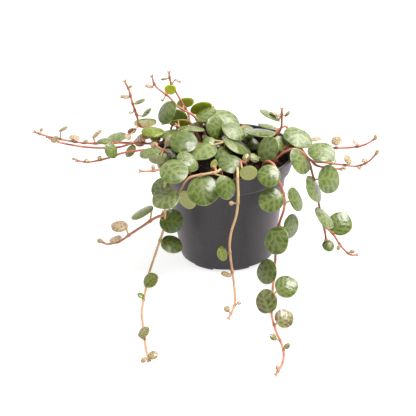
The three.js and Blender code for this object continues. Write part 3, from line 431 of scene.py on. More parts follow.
# Each leafy stem: its root in the soil, the points its stem passes, side branches that leave the
# stem, and its leaves. A leaf is the middle of its blade, its width, the way its top faces, which
# is its turn about Z and its rise above level in degrees, and its look, unless it is plain.
PLACED_VINES = [{
    "name": "left_vine_upper",
    "root": [-17, 4],
    "stem": [[-24, 4, 50], [-32, 4, 50], [-38, 4, 50.5], [-47, 4, 51], [-55, 4, 51], [-63, 3, 52.5],
        [-74, 2, 56], [-79, 2, 58]],
    "leaves": [
        (-29.5, 4, 49.5, 4, -60, 50, "pale"), (-24, 6, 50, 5, -80, 40, "patched"),
        (-34.5, 3, 54, 5, -165, 75), (-40, 1, 48.5, 6.3, -150, 45), (-46, 9, 51.5, 9.4, -165, 75),
        (-47, 1, 48.5, 7.2, -35, 30), (-50.5, -0.5, 54.5, 6.7, 140, 80),
        (-54, 6.5, 54.5, 5.5, 175, 55, "young"), (-58, 1, 53.5, 2.5, -85, 75),
        (-63, 4, 54.2, 5.1, -20, 80), (-67, 0, 60, 4.6, 175, 65), (-71, 1, 55, 4.2, -110, 70),
        (-76.5, 3.5, 58.5, 2, -90, 60),
    ],
}, {
    "name": "left_vine_middle",
    "root": [-14, 11],
    "stem": [[-22, 10, 49.5], [-30, 9.5, 50.5], [-36, 9, 49.6], [-44.5, 7, 47.6], [-53, 6, 48],
        [-61, 6, 49], [-69, 6, 51], [-73, 6, 53]],
    "leaves": [
        (-29, 5, 52, 5.1, -60, 80), (-36, 8, 49.5, 5.5, -100, 60, "young"),
        (-23.5, 9, 48.5, 4.6, -80, 30, "flushed"), (-30, 12, 50.5, 3.8, -40, 40, "pale"),
        (-71, 8, 51.5, 2.5, -90, 75), (-74.5, 6, 54, 2, -90, 60),
    ],
}, {
    "name": "left_vine_lower",
    "root": [-19, -2],
    "stem": [[-27, -2, 49.5], [-31, -2, 49.8], [-37, -2, 49.5], [-43, -2, 48.7], [-49, -2, 46.7],
        [-57, -2, 45.2], [-62, -2, 46]],
    "leaves": [
        (-52.5, -4, 48, 2.4, -90, 70), (-58, -4, 47, 2.4, -90, 70), (-63.5, -2, 47, 1.8, -90, 60),
    ],
}, {
    "name": "rising_shoot_left",
    "root": [-17.5, 12.5],
    "stem": [[-23, 13, 50], [-29, 12, 53], [-35.5, 10, 55.7], [-36.5, 10, 60], [-38, 10, 66],
        [-39, 11, 71], [-40.6, 11, 75.4]],
    "leaves": [
        (-33.5, 16, 55, 10.2, 95, 46, "lime"), (-30, 4.5, 55.5, 9.8, -30, 85, "lime"),
        (-39, 7, 55, 4.2, 115, 25), (-40.5, 6, 52.5, 3.8, -35, 60),
        (-32.5, 10, 62, 5.5, 180, 50, "flushed"), (-39, 9, 62.5, 2.1, -15, 70),
        (-35, 10, 67, 5.1, 180, 70, "flushed"), (-41, 11, 69, 4.6, 25, 85),
        (-38.5, 12, 73, 2.1, -165, 75),
    ],
}, {
    "name": "rising_shoot_back_left",
    "root": [-7, 16],
    "stem": [[-10, 16, 53], [-13, 16, 57.3], [-19, 16, 61.3], [-22.7, 16, 66], [-28, 17, 70.5],
        [-29.5, 17, 75]],
    "leaves": [
        (-7.5, 19, 56, 10.4, -150, 68, "pale"), (-24, 12, 61, 10.9, -145, 40, "silver"),
        (-25.5, 16.5, 64.5, 1.8, -90, 60), (-31, 17, 71, 3.8, -15, 70),
    ],
}, {
    "name": "rising_shoot_back",
    "root": [-12, 14],
    "stem": [[-14, 18, 51], [-15, 21.5, 56], [-17, 21, 60], [-18.5, 20, 64], [-21.7, 21, 70.4],
        [-22.3, 21, 75]],
    "leaves": [
        (-19.5, 18, 56.5, 9.5, 75, 30, "dark"), (-16, 25, 60, 7.8, 100, 35, "lime"),
        (-22, 18.5, 68.5, 5.3, 90, 5, "lime"), (-24.5, 21, 72.5, 3.4, 150, 80),
        (-18.5, 21, 71.5, 3.4, 0, 60),
    ],
}, {
    "name": "crown_stem_back",
    "root": [0, 18],
    "stem": [[0, 19, 50], [-2, 20.5, 54], [-4, 22, 57.5]],
    "leaves": [
        (-9, 23, 58, 10.4, 100, 35, "lime"), (1.5, 16, 55, 13.4, -35, 60, "pale"),
        (-3, 10, 53.5, 10.2, -50, 25), (-6, 26, 50, 9, 110, 50),
    ],
}, {
    "name": "crown_stem_back_right",
    "root": [10, 12],
    "stem": [[10, 13, 49], [9, 14, 52]],
    "leaves": [
        (4.5, 9, 52, 11.5, -30, 60, "pale"), (10, 12, 50.5, 8, -60, 60), (12, 9, 46, 6.5, -60, 50),
        (15.5, 12, 49.5, 12.9, 60, 80, "pale"),
    ],
}, {
    "name": "crown_stem_middle",
    "root": [0, 2],
    "stem": [[0, 2, 48], [1, 1, 51]],
    "leaves": [
        (5.5, 0, 49.5, 13.5, -5, 60, "pale"), (0, 5, 49, 8.5, -50, 55, "dark"),
        (-0.5, -5, 48, 8.3, -85, 65, "silver"), (-9.5, -6, 50, 12.9, -120, 80, "pale"),
        (-6.5, 2, 52, 6.7, 0, 50, "pale"), (-6.5, -2, 52.5, 5.5, -90, 60, "pale"),
    ],
}, {
    "name": "crown_stem_left",
    "root": [-11, 6],
    "stem": [[-12, 7, 50], [-15, 7.5, 53.5], [-20, 8, 56]],
    "leaves": [
        (-22.5, 6, 53.5, 10.2, 152, 74, "dark"), (-18.5, 13, 55.5, 9.5, 90, 49, "lime"),
        (-13.5, 9, 54, 11.1, 60, 75, "pale"), (-12, 1, 50.5, 7, 75, 80),
    ],
}, {
    "name": "crown_stem_left_edge",
    "root": [-21, -5.5],
    "stem": [[-22.5, -5.5, 48.5], [-26, -5.5, 51], [-29, -4, 52.5]],
    "leaves": [
        (-29.5, 0, 51, 3.8, -105, 55), (-23.5, 2, 51.5, 5.5, -150, 35, "young"),
        (-31, -8, 51.5, 9.5, -170, 80), (-28, -12, 50, 7.4, 75, 30, "dark"),
        (-23.5, -7, 49, 7.2, -60, 50, "silver"),
    ],
}, {
    "name": "crown_stem_front_left",
    "root": [-13, -4],
    "stem": [[-14.5, -6, 49], [-18, -9, 51]],
    "leaves": [
        (-17, -8, 48.5, 6.5, -70, 60, "dark"), (-17, -9, 56, 12, -85, 57, "dark"),
        (-16, -13, 50, 7.8, -50, 65), (-14, -18, 49.5, 6.9, -50, 35),
    ],
}, {
    "name": "crown_stem_right",
    "root": [16, -5],
    "stem": [[17, -5, 47.5], [20, -3, 50]],
    "leaves": [
        (17.5, -4, 48.5, 11.7, -140, 30, "pale"), (12, -9, 47, 4.6, -30, 50),
    ],
}, {
    "name": "crown_stem_front_right",
    "root": [9, -15],
    "stem": [[8, -16, 48], [6, -18, 50]],
    "leaves": [
        (2, -14, 47.5, 10.8, -65, 66, "dark"), (8.5, -25, 48, 7.2, 90, 10, "olive"),
        (8.5, -11, 48, 2.9, -45, 40), (8.5, -15, 50, 4, -80, 40, "spotted"),
        (12, -13.5, 49.5, 5, -20, 50, "flushed"),
    ],
}, {
    "name": "rising_shoot_right",
    "root": [20, 8],
    "stem": [[22.5, 8.3, 49], [24.4, 8, 53], [24.8, 8, 57], [24.9, 9, 61]],
    "leaves": [
        (20, 8, 59.5, 10.1, 10, 60, "pale"), (22, 11, 58, 5.1, 15, 60),
        (27, 8, 59.5, 3.4, -175, 45),
    ],
}, {
    "name": "right_vine_upper",
    "root": [20, 4],
    "stem": [[25, 3, 49.5], [31, 3, 50], [36, 2.5, 47.5], [40.4, 2, 45.7], [47.6, 2, 45.4],
        [55.3, 2, 45.5], [60, 2, 46.7], [63.6, 2, 49]],
    "leaves": [
        (31, 0.5, 52, 13, -45, 65, "pale"), (40, -4.5, 47, 12.1, -70, 70),
        (38.5, 5, 49, 6.4, 115, 75, "young"), (47.5, 3, 48.5, 5.1, -115, 65),
        (56, 3, 47, 4.2, -5, 55), (64, 2.5, 50, 2, -90, 60),
    ],
}, {
    "name": "right_vine_lower",
    "root": [22, -3],
    "stem": [[26, -3, 49.3], [31, -3.5, 49], [36, -4, 43], [43, -3, 41], [50, -3, 39.7],
        [56, -3, 38.9], [60.6, -3, 41], [63.5, -3, 44.2]],
    "branches": [[[36, -4, 43], [39, -6.5, 41.2], [48, -7, 39.7]]],
    "leaves": [
        (24, -2, 50, 8, -45, 40, "silver"), (45, -2, 41.5, 4.4, -90, 60, "flushed"),
        (29, -3, 49.5, 6, -60, 65, "pale"), (51.5, -5, 43, 4.6, -40, 35),
        (58.5, -4, 42, 2.9, -85, 75), (56.5, -4.5, 39, 2.5, -85, 75), (64, -3, 45.4, 2, -90, 60),
        (49.5, -8, 40.6, 2, -90, 60),
    ],
}, {
    "name": "right_trailing_vine",
    "root": [20, -9],
    "stem": [[25, -9, 49.5], [30, -9, 50.3], [34, -9.5, 46], [36, -10, 39.8], [38.8, -11, 25.7],
        [40.5, -12, 17], [44.8, -12, 11.7], [48.3, -12, 5.7], [52, -12, 1.5], [55, -12, 1]],
    "branches": [[[40.5, -12, 17], [41.3, -13, 13], [41.6, -14, 10.5]]],
    "leaves": [
        (31, -13, 47, 11.9, -35, 35), (43, -10, 36.5, 12.5, -50, 20),
        (36.5, -15, 35, 12.4, -20, 30), (41, -16, 22, 11.7, -10, 45, "pale"),
        (48, -10, 15.5, 10.7, -90, 40), (42.5, -15, 8, 5.5, -90, 50, "pale"),
        (47, -14, 6, 2.2, -90, 40), (53, -13, 3.4, 2.4, -90, 40),
    ],
}, {
    "name": "front_right_trailing_vine",
    "root": [15, -14],
    "stem": [[17, -18, 49.5], [19.5, -24, 50], [20.5, -27.5, 46], [22.8, -28.5, 39], [22.8, -28.5, 33],
        [20.7, -28, 25.4], [19.4, -28, 15], [19, -28.5, 8], [18.5, -31, 2.6], [17.5, -36, 1],
        [16.5, -47, 1], [15.6, -57.6, 1], [16.4, -69, 1], [18, -79, 1], [18.2, -86, 1],
        [17, -92, 1], [14.4, -98, 1]],
    "leaves": [
        (17, -26, 47, 9.6, -90, 45), (17.5, -31, 38.5, 10.4, -90, 35, "pale"),
        (28, -26, 36, 10.5, -25, 30, "dark"), (26, -28, 24.5, 10.6, -40, 5, "dark"),
        (19, -31, 20, 11.8, -130, 30, "pale"), (15, -32, 6, 10.7, -135, 25),
        (22.5, -42.5, 5, 9.7, -90, 50, "pale"), (13.5, -52.5, 4.4, 9.9, -125, 30, "patched"),
        (20, -65, 4, 7.8, -75, 45, "spotted"), (15, -76.5, 3, 3.4, -45, 40, "spotted"),
        (19.5, -83, 3, 3, -140, 50, "spotted"), (15, -96.5, 3, 2, -100, 65),
    ],
}, {
    "name": "front_bare_vine",
    "root": [3.5, -20.5],
    "stem": [[4.2, -24, 49.5], [4.4, -28, 50.8], [4.2, -32.5, 48], [4.2, -34, 42], [3.3, -34, 34],
        [1, -34, 26], [0.2, -34, 19], [0.8, -34, 10], [1.5, -36, 3], [1.7, -41, 1], [1.6, -46, 1],
        [0.5, -52, 1], [-1.4, -58.6, 1]],
    "leaves": [
        (1.5, -34.5, 39.5, 2.4, -45, 30), (-2.5, -34, 16.5, 6.5, -30, 25, "bronze"),
        (-1.5, -36, 8, 4.9, 15, 70), (3, -50, 2.5, 2, -50, 55), (-2, -55, 3, 3.2, -125, 60),
    ],
}, {
    "name": "front_stem_over_rim",
    "root": [-2, -21],
    "stem": [[-2.4, -24, 49.4], [-4, -28, 50.3], [-9, -30, 50.5], [-15, -30.5, 49.4], [-18, -30, 45],
        [-19.5, -29.5, 41.5]],
    "branches": [[[-4, -28, 50.3], [-4.8, -27, 52]]],
    "leaves": [
        (-5, -26, 53, 4, 120, 0, "olive"), (-0.5, -33.5, 46, 9.9, -45, 30, "dark"),
        (-9.5, -34, 45.5, 13.1, -90, 45), (-16, -32.5, 41, 8.4, 60, 5, "olive"),
        (-24.5, -27, 39.5, 11.7, -110, 65, "flushed"),
    ],
}, {
    "name": "left_trailing_vine",
    "root": [-15, -12],
    "stem": [[-18, -17, 49.5], [-22, -22.5, 50.8], [-24.5, -25.5, 46.5], [-25.5, -25, 38],
        [-25.6, -24.5, 30.5], [-26.8, -24, 23], [-30, -23, 13.3], [-33, -23.5, 5], [-34.5, -26.5, 1.4],
        [-35, -34, 1], [-35.6, -43, 1], [-36, -52, 1], [-35, -63, 1], [-33.6, -77, 1], [-32.2, -86, 1]],
    "branches": [
        [[-22, -22.5, 50.8], [-27.5, -20.5, 48.9], [-31, -21, 48.6], [-34.5, -21.5, 49]],
        [[-25.6, -24.5, 30.5], [-29.8, -24, 28.8], [-35, -25, 25.8], [-39.6, -25, 22.8],
          [-44.7, -26, 19.8], [-49.7, -26, 18.6], [-52, -26, 19.7]],
    ],
    "leaves": [
        (-21, -28, 51.5, 11.9, -95, 60, "pale"), (-27, -20, 40.5, 9.4, -125, 40),
        (-23, -20, 25, 10.4, -70, 25, "dark"), (-23.5, -20, 14.5, 9.6, -50, 60, "pale"),
        (-29.5, -20.5, 50, 2.2, -90, 40), (-35, -24, 32, 10.2, 170, 65, "olive"),
        (-44.5, -25, 26.5, 7, -85, 75, "young"), (-46.5, -27.5, 22, 5.7, 170, 75, "young"),
        (-53, -26, 20.4, 2.6, -100, 50), (-33, -31.5, 4, 7, -130, 50, "bronze"),
        (-36.5, -42, 3, 3.3, -35, 60, "lime"), (-34.5, -71, 4, 5.4, -145, 60, "spotted"),
        (-30.5, -86, 3.4, 4.1, -85, 60), (-34, -87.5, 2.6, 2.6, -110, 50),
    ],
}]


def seeded_random(seed):
    """Numbers from 0 to 1 that are the same on every run."""
    state = seed
    while True:
        state = (state * GENERATOR_FACTOR + GENERATOR_SHIFT) % GENERATOR_RANGE
        yield state / GENERATOR_RANGE


def nearest_whole(value):
    """The nearest whole number, with halves rounded up."""
    return int(value + 0.5)


def unit(vector):
    """The vector with length 1."""
    return vector / np.linalg.norm(vector)


def bell(gap, spread):
    """A smooth hill that is 1 where the gap is 0 and nears 0 past the spread."""
    return np.exp(-((gap / spread) ** 2))


def circle(sides):
    """The angles of points round a circle."""
    return 2 * math.pi * np.arange(sides) / sides


def direction(turn, rise):
    """A direction from its turn about Z and its rise above level, in degrees."""
    turn, rise = math.radians(turn), math.radians(rise)
    level = math.cos(rise)
    return np.array([level * math.cos(turn), level * math.sin(turn), math.sin(rise)])


def around_pot(turn, radius, height):
    """A point at a turn about Z, a distance from the pot's axis and a height."""
    return radius * math.cos(math.radians(turn)), radius * math.sin(math.radians(turn)), height


class Curve:
    """The smooth way of a stem through its points."""

    def __init__(self, points):
        points = np.array(points, float)
        before, after = 2 * points[0] - points[1], 2 * points[-1] - points[-2]
        self.points = np.vstack([before, points, after])
        self.shares = np.linspace(0, 1, CURVE_STEPS + 1)
        steps = np.linalg.norm(np.diff(self.at(self.shares), axis=0), axis=1)
        self.lengths = np.concatenate([[0], np.cumsum(steps)])
        self.length = self.lengths[-1]

    def at(self, shares):
        """The points at these shares of the curve's own parameter."""
        spans = len(self.points) - 3
        place = np.atleast_1d(shares) * spans
        first = np.minimum(place.astype(int), spans - 1)
        t = (place - first)[:, None]
        a, b, c, d = (self.points[first + i] for i in range(4))
        start, end = (c - a) / 2, (d - b) / 2
        return b + start * t + (3 * (c - b) - 2 * start - end) * t**2 + (2 * (b - c) + start + end) * t**3

    def spaced(self, shares):
        """The points at these shares of the curve's length."""
        return self.at(np.interp(np.atleast_1d(shares) * self.length, self.lengths, self.shares))


def main_curve(vine):
    """The way of a main stem: up its hole, straight out of the soil, then through its own points."""
    heights = (STEM_FOOT, (STEM_FOOT + STEM_COLLAR) / 2, STEM_COLLAR)
    return Curve([(*vine["root"], height) for height in heights] + list(vine["stem"]))


def hanging_stem(rule):
    """The points of a hanging vine: over the rim, down the wall and out along the surface."""
    turn, swing, lies = rule["turn"], rule["swing"], rule["lies"]
    stem = [around_pot(turn, radius, height) for radius, height in HANGING_RIM_POINTS]
    low = LYING_HEIGHT + LANDING_RADIUS if lies > 0 else rule["bottom"]
    drops = max(2, nearest_whole((SOIL_TOP - low) / HANGING_STEP))
    for i in range(drops + 1):
        share = i / drops
        sway = SWAY * math.sin(SWAY_LENGTH * share + turn)
        height = SOIL_TOP + (low - SOIL_TOP) * share
        stem.append(around_pot(turn + swing * share + sway, HANGING_STEM_RADIUS, height))
    for along in range(LANDING_RADIUS, lies + 1, HANGING_STEP):
        veer = swing + VEER * along
        stem.append(around_pot(turn + veer, HANGING_STEM_RADIUS + along, LYING_HEIGHT))
    return stem


def hanging_vine(rule, random):
    """A hanging vine, with leaves to both sides that get smaller towards its tip."""
    root = around_pot(rule["turn"], HANGING_ROOT_RADIUS, 0)[:2]
    vine = {"name": rule["name"], "root": root, "stem": hanging_stem(rule), "leaves": []}
    vine["away"] = direction(rule["turn"] + rule["swing"], AWAY_RISE)
    curve = main_curve(vine)
    first = (STEM_COLLAR - STEM_FOOT) / curve.length + FIRST_LEAF_SHARE
    for i in range(rule["leaf_count"]):
        age = i / (rule["leaf_count"] - 1)
        mean_width = OLD_LEAF_WIDTH + (YOUNG_LEAF_WIDTH - OLD_LEAF_WIDTH) * age
        width = mean_width + WIDTH_SPREAD * next(random) - WIDTH_SPREAD / 2
        node = curve.spaced(first + (LAST_LEAF_SHARE - first) * age)[0]
        side = 1 if i % 2 == 0 else -1
        out_turn = math.degrees(math.atan2(node[1], node[0]))
        middle = node + direction(out_turn + 90 * side, 0) * (width / 2 + STALK_LENGTH)
        middle = middle + direction(out_turn, 0) * OUTWARD_OFFSET
        middle[2] = max(middle[2], LYING_LEAF_SHARE * width)
        rise = CROWN_RISE if node[2] > POT_HEIGHT else HANGING_RISE + RISE_SPREAD * next(random)
        turn = out_turn + side * TURN_SPREAD * next(random)
        vine["leaves"].append((*middle, width, turn, rise))
    return vine


def distance_to_line(points, start, end):
    """The distances from points to a line between two points, all in one plane."""
    start, end = np.array(start, float), np.array(end, float)
    way = end - start
    share = np.clip(((points - start) @ way) / (way @ way), 0, 1)
    return np.linalg.norm(points - start - share[:, None] * way, axis=1)


def room_around(points):
    """The free distance from each point to the pot, the soil and the surface below."""
    radius = np.hypot(points[:, 0], points[:, 1])
    height = points[:, 2]
    place = np.stack([radius, height], axis=1)
    room = height.copy()
    for line in (OUTER_LINE, INNER_LINE):
        for start, end in zip(line, line[1:]):
            room = np.minimum(room, distance_to_line(place, start, end))
    over_soil = radius < RIM_RADIUS - WALL
    return np.where(over_soil, np.minimum(room, height - SOIL_TOP - SOIL_UNEVENNESS), room)


def balls_along(start, end):
    """Points along a petiole, which stand for it where leaves keep clear of it."""
    count = max(2, math.ceil(np.linalg.norm(end - start) / PETIOLE_RADIUS / 2))
    return start + np.linspace(0, 1, count + 1)[:, None] * (end - start)


def blade_samples(leaf):
    """Points spread over a blade: its middle and two rings."""
    along = unit(np.cross(leaf.normal, TOWARD_LIGHT if abs(leaf.normal[2]) > NEARLY_UP else UP))
    across = np.cross(leaf.normal, along)
    samples = [leaf.middle]
    for ring, count in TESTED_RINGS:
        for angle in circle(count):
            offset = along * math.cos(angle) + across * math.sin(angle)
            samples.append(leaf.middle + ring * leaf.radius * offset)
    return np.array(samples)


def distances_to_blades(points, leaves):
    """The distances from points to the middle planes of round blades, one column for each blade."""
    middles, normals, radii = (
        np.array([getattr(leaf, key) for leaf in leaves]) for key in ("middle", "normal", "radius")
    )
    offset = points[:, None] - middles
    above = np.sum(offset * normals, axis=2)
    flat = np.sqrt(np.maximum(0, np.sum(offset**2, axis=2) - above**2))
    return np.hypot(above, np.maximum(0, flat - radii))


class Placed:
    """The blades, stems and petioles that have their place, and what owns them."""

    def __init__(self):
        self.leaves = []
        self.balls = np.zeros((0, 3))
        self.ball_radii = np.zeros(0)
        self.ball_owners = []

    def add_balls(self, middles, radius, owner):
        """Adds points along a stem or petiole of that radius."""
        self.balls = np.vstack([self.balls, middles])
        self.ball_radii = np.append(self.ball_radii, np.full(len(middles), radius))
        self.ball_owners += [owner] * len(middles)

    def add_leaf(self, leaf):
        """Adds a blade and its petiole."""
        leaf.samples = blade_samples(leaf)
        self.leaves.append(leaf)
        self.add_balls(balls_along(leaf.foot, leaf.base), PETIOLE_RADIUS, leaf.owner)

    def has_room_for(self, leaf):
        """Whether a leaf, with its petiole, is clear of the pot, the soil and what is placed."""
        samples = blade_samples(leaf)
        if room_around(samples).min() < leaf.thickness / 2 + CLEARANCE:
            return False
        stalk = balls_along(leaf.foot, leaf.base)[POINTS_IN_STEM:]
        if len(stalk) and room_around(stalk).min() < PETIOLE_RADIUS + CLEARANCE:
            return False
        if self.leaves and self.meets_leaves(leaf, samples, stalk):
            return False
        return not self.meets_stems(leaf, stalk)

    def meets_leaves(self, leaf, samples, stalk):
        """Whether a leaf comes near any blade, or its petiole near the blade of another plant."""
        halves = np.array([other.thickness / 2 for other in self.leaves])
        apart = leaf.thickness / 2 + halves + CLEARANCE
        if (distances_to_blades(samples, self.leaves) < apart).any():
            return True
        others = np.concatenate([other.samples for other in self.leaves])
        from_others = distances_to_blades(others, [leaf]).reshape(len(self.leaves), -1)
        if (from_others.min(axis=1) < apart).any():
            return True
        foreign = np.array([other.owner != leaf.owner for other in self.leaves])
        near = distances_to_blades(stalk, self.leaves) < PETIOLE_RADIUS + halves + CLEARANCE
        return near[:, foreign].any()

    def meets_stems(self, leaf, stalk):
        """Whether a leaf or its petiole comes near the stem or petioles of another plant."""
        foreign = np.array([owner != leaf.owner for owner in self.ball_owners])
        balls, radii = self.balls[foreign], self.ball_radii[foreign]
        if (distances_to_blades(balls, [leaf])[:, 0] < leaf.thickness / 2 + radii + CLEARANCE).any():
            return True
        gaps = np.linalg.norm(stalk[:, None] - balls, axis=2)
        return (gaps < PETIOLE_RADIUS + radii + CLEARANCE).any()


def leaf_at(middle, width, normal, ways):
    """A leaf in its place: its blade, and the petiole from the nearest point of its stem."""
    foot = ways[np.argmin(np.sum((ways - middle) ** 2, axis=1))]
    to_base = foot - middle
    to_base = to_base - normal * (to_base @ normal)
    if np.linalg.norm(to_base) < STEM_RADIUS:
        to_base = normal * normal[2] - UP
    to_base = unit(to_base)
    return SimpleNamespace(
        middle=middle, normal=normal, radius=width / 2, to_base=to_base,
        base=middle + to_base * (width / 2), foot=foot,
        thickness=YOUNG_THICKNESS if width < YOUNG_WIDTH else BLADE_THICKNESS,
    )


def plain_look(width):
    """The look of a leaf whose row names none."""
    return "young" if width < YOUNG_WIDTH else "green"


def place_leaf(row, ways, placed, vine):
    """Shifts a leaf towards the light or back, and tilts it, until it is clear of what is placed."""
    x, y, z, width, turn, rise, *look = row
    away = vine.get("away", TOWARD_LIGHT)
    for tilt in TILT_TRIES:
        normal = direction(turn, min(STEEPEST_RISE, rise + tilt))
        for steps in SHIFTS:
            middle = np.array([x, y, z]) + away * steps * SHIFT_STEP
            leaf = leaf_at(middle, width, normal, ways)
            leaf.owner = vine["name"]
            if placed.has_room_for(leaf):
                leaf.look = look[0] if look else plain_look(width)
                return leaf
    return None


def grow_plant(vines):
    """Each vine's name, curves and placed leaves."""
    placed = Placed()
    grown = []
    for vine in vines:
        curves = [main_curve(vine)] + [Curve(branch) for branch in vine.get("branches", [])]
        spaced = [curve.spaced(np.linspace(0, 1, nearest_whole(curve.length) + 1)) for curve in curves]
        ways = np.concatenate(spaced)
        placed.add_balls(ways, STEM_RADIUS, vine["name"])
        is_free = (ways[:, 2] > STEM_COLLAR) | (np.hypot(ways[:, 0], ways[:, 1]) > RIM_RADIUS)
        grown.append(
            SimpleNamespace(name=vine["name"], curves=curves, ways=ways[is_free], leaves=[], vine=vine)
        )
    for plant in grown:
        for row in plant.vine["leaves"]:
            leaf = place_leaf(row, plant.ways, placed, plant.vine)
            if leaf:
                placed.add_leaf(leaf)
                plant.leaves.append(leaf)
    return grown


def add_object(name, data):
    """A new object in the scene, around its mesh, light or camera."""
    made = bpy.data.objects.new(name, data)
    bpy.context.scene.collection.objects.link(made)
    return made


def add_mesh(name, points, faces, materials=()):
    """A new mesh object at the origin, from points in millimetres."""
    mesh = bpy.data.meshes.new(name)
    mesh.from_pydata((np.array(points) * MM).tolist(), [], faces)
    for material in materials:
        mesh.materials.append(material)
    return add_object(name, mesh)


def ring_faces(rings, sides):
    """The faces of a closed form of rings of vertices, with one vertex before and one after them."""
    faces = []
    last = 1 + rings * sides
    for j in range(sides):
        k = (j + 1) % sides
        faces.append((0, 1 + k, 1 + j))
        faces.append((last, last - sides + j, last - sides + k))
        for i in range(rings - 1):
            low, high = 1 + i * sides, 1 + (i + 1) * sides
            faces.append((low + j, low + k, high + k, high + j))
    return faces


class Gathered:
    """Vertices, faces and their values, gathered for one mesh.

    The values are read by the materials. On a blade, place is how far a vertex lies across and
    along it and which side it is on. On a stem it is the share of the length, the nearness of a
    node, and 1 on petioles.
    """

    def __init__(self):
        self.points, self.faces, self.slots = [], [], []
        self.values = {"place": [], "look": [], "seed": []}
        self.count = 0

    def add(self, points, faces, slot, place, look, seed):
        """Adds one closed form, whose material is in that slot."""
        self.points.append(points)
        self.faces += [tuple(self.count + i for i in face) for face in faces]
        self.slots += [slot] * len(faces)
        self.values["place"].append(place)
        self.values["look"].append(np.broadcast_to(look, (len(points), 3)))
        self.values["seed"].append(np.full(len(points), seed))
        self.count += len(points)

    def object(self, name, materials):
        """The gathered forms as an object at the origin, smooth all over."""
        made = add_mesh(name, np.concatenate(self.points), self.faces, materials)
        made.data.polygons.foreach_set("material_index", self.slots)
        made.data.shade_smooth()
        for key, parts in self.values.items():
            values = np.concatenate(parts).astype(np.float32)
            kind = "FLOAT" if values.ndim == 1 else "FLOAT_VECTOR"
            attribute = made.data.attributes.new(key, kind, "POINT")
            attribute.data.foreach_set("value" if kind == "FLOAT" else "vector", values.ravel())
        return made


def tube(gathered, path, radii, sides, marks, yellowness, random):
    """A tube along a path, closed by a point at each end; marks are the three parts of its place."""
    ways = np.gradient(path, axis=0)
    ways /= np.linalg.norm(ways, axis=1)[:, None]
    side = unit(np.cross(ways[0], UP if abs(ways[0][2]) < NEARLY_UP else TOWARD_LIGHT))
    angles = circle(sides)[:, None]
    points = [path[0]]
    for middle, way, radius in zip(path, ways, radii):
        side = unit(side - way * (side @ way))
        ring = np.cos(angles) * side + np.sin(angles) * np.cross(way, side)
        points += list(middle + radius * ring)
    points.append(path[-1] + ways[-1] * radii[-1] * TUBE_END)
    place = np.stack(np.broadcast_arrays(*marks), axis=1)
    place = np.vstack([place[0], np.repeat(place, sides, axis=0), place[-1]])
    faces = ring_faces(len(path), sides)
    gathered.add(np.array(points), faces, STEM_SKIN, place, (yellowness, 0, 0), random.uniform(0, 1))


def vein_distance(across, along):
    """How far places on a blade are from its nearest vein, less that vein's width."""
    along = along + VEIN_STAGGER * np.sign(across)
    place = np.stack([np.abs(across), along], axis=-1).reshape(-1, 2)
    gaps = [distance_to_line(place, start, end) - width for start, end, width in VEINS]
    return np.min(gaps, axis=0).reshape(across.shape)


def blade_profile(leaf, rings):
    """Each ring's distance from the middle, height over the middle plane, and side: 1 on top, 0 under."""
    rim, half = BLADE_EDGE / 2, leaf.thickness / 2
    inner = 1 - rim / leaf.radius
    dome = leaf.thickness - BLADE_EDGE
    shares = np.linspace(0, 1, rings + 1)[1:] ** RING_SPACING * inner
    profile = [(share, -half + BLADE_EDGE + dome * (1 - (share / inner) ** 2), 1) for share in shares]
    for angle in RIM_ANGLES:
        turn = math.radians(angle)
        distance = inner + rim / leaf.radius * math.cos(turn)
        side = 0.5 + angle / (RIM_ANGLES[0] - RIM_ANGLES[-1])
        profile.append((distance, -half + rim + rim * math.sin(turn), side))
    profile += [(share, -half, 0) for share in np.linspace(inner, 0, UNDER_RINGS + 1)[:-1]]
    return np.array(profile)


def blade_outline(angles, random):
    """The rim's distance from the middle at each angle, in shares of the radius. The petiole is at 0."""
    outline = MEAN_OUTLINE + random.uniform(*TIP_REACH) * bell(angles - math.pi, TIP_SPREAD)
    for base_angle in (0, 2 * math.pi):
        outline = outline - BASE_DEPTH * bell(angles - base_angle, BASE_SPREAD)
    for count, depth in OUTLINE_WAVES:
        outline = outline + depth * np.sin(count * angles + random.uniform(0, LATEST_START))
    return outline


def breadth(width):
    """A blade's breadth as a share of its length: young blades are narrower."""
    return min(1, LEAST_BREADTH + BREADTH_GROWTH * width)


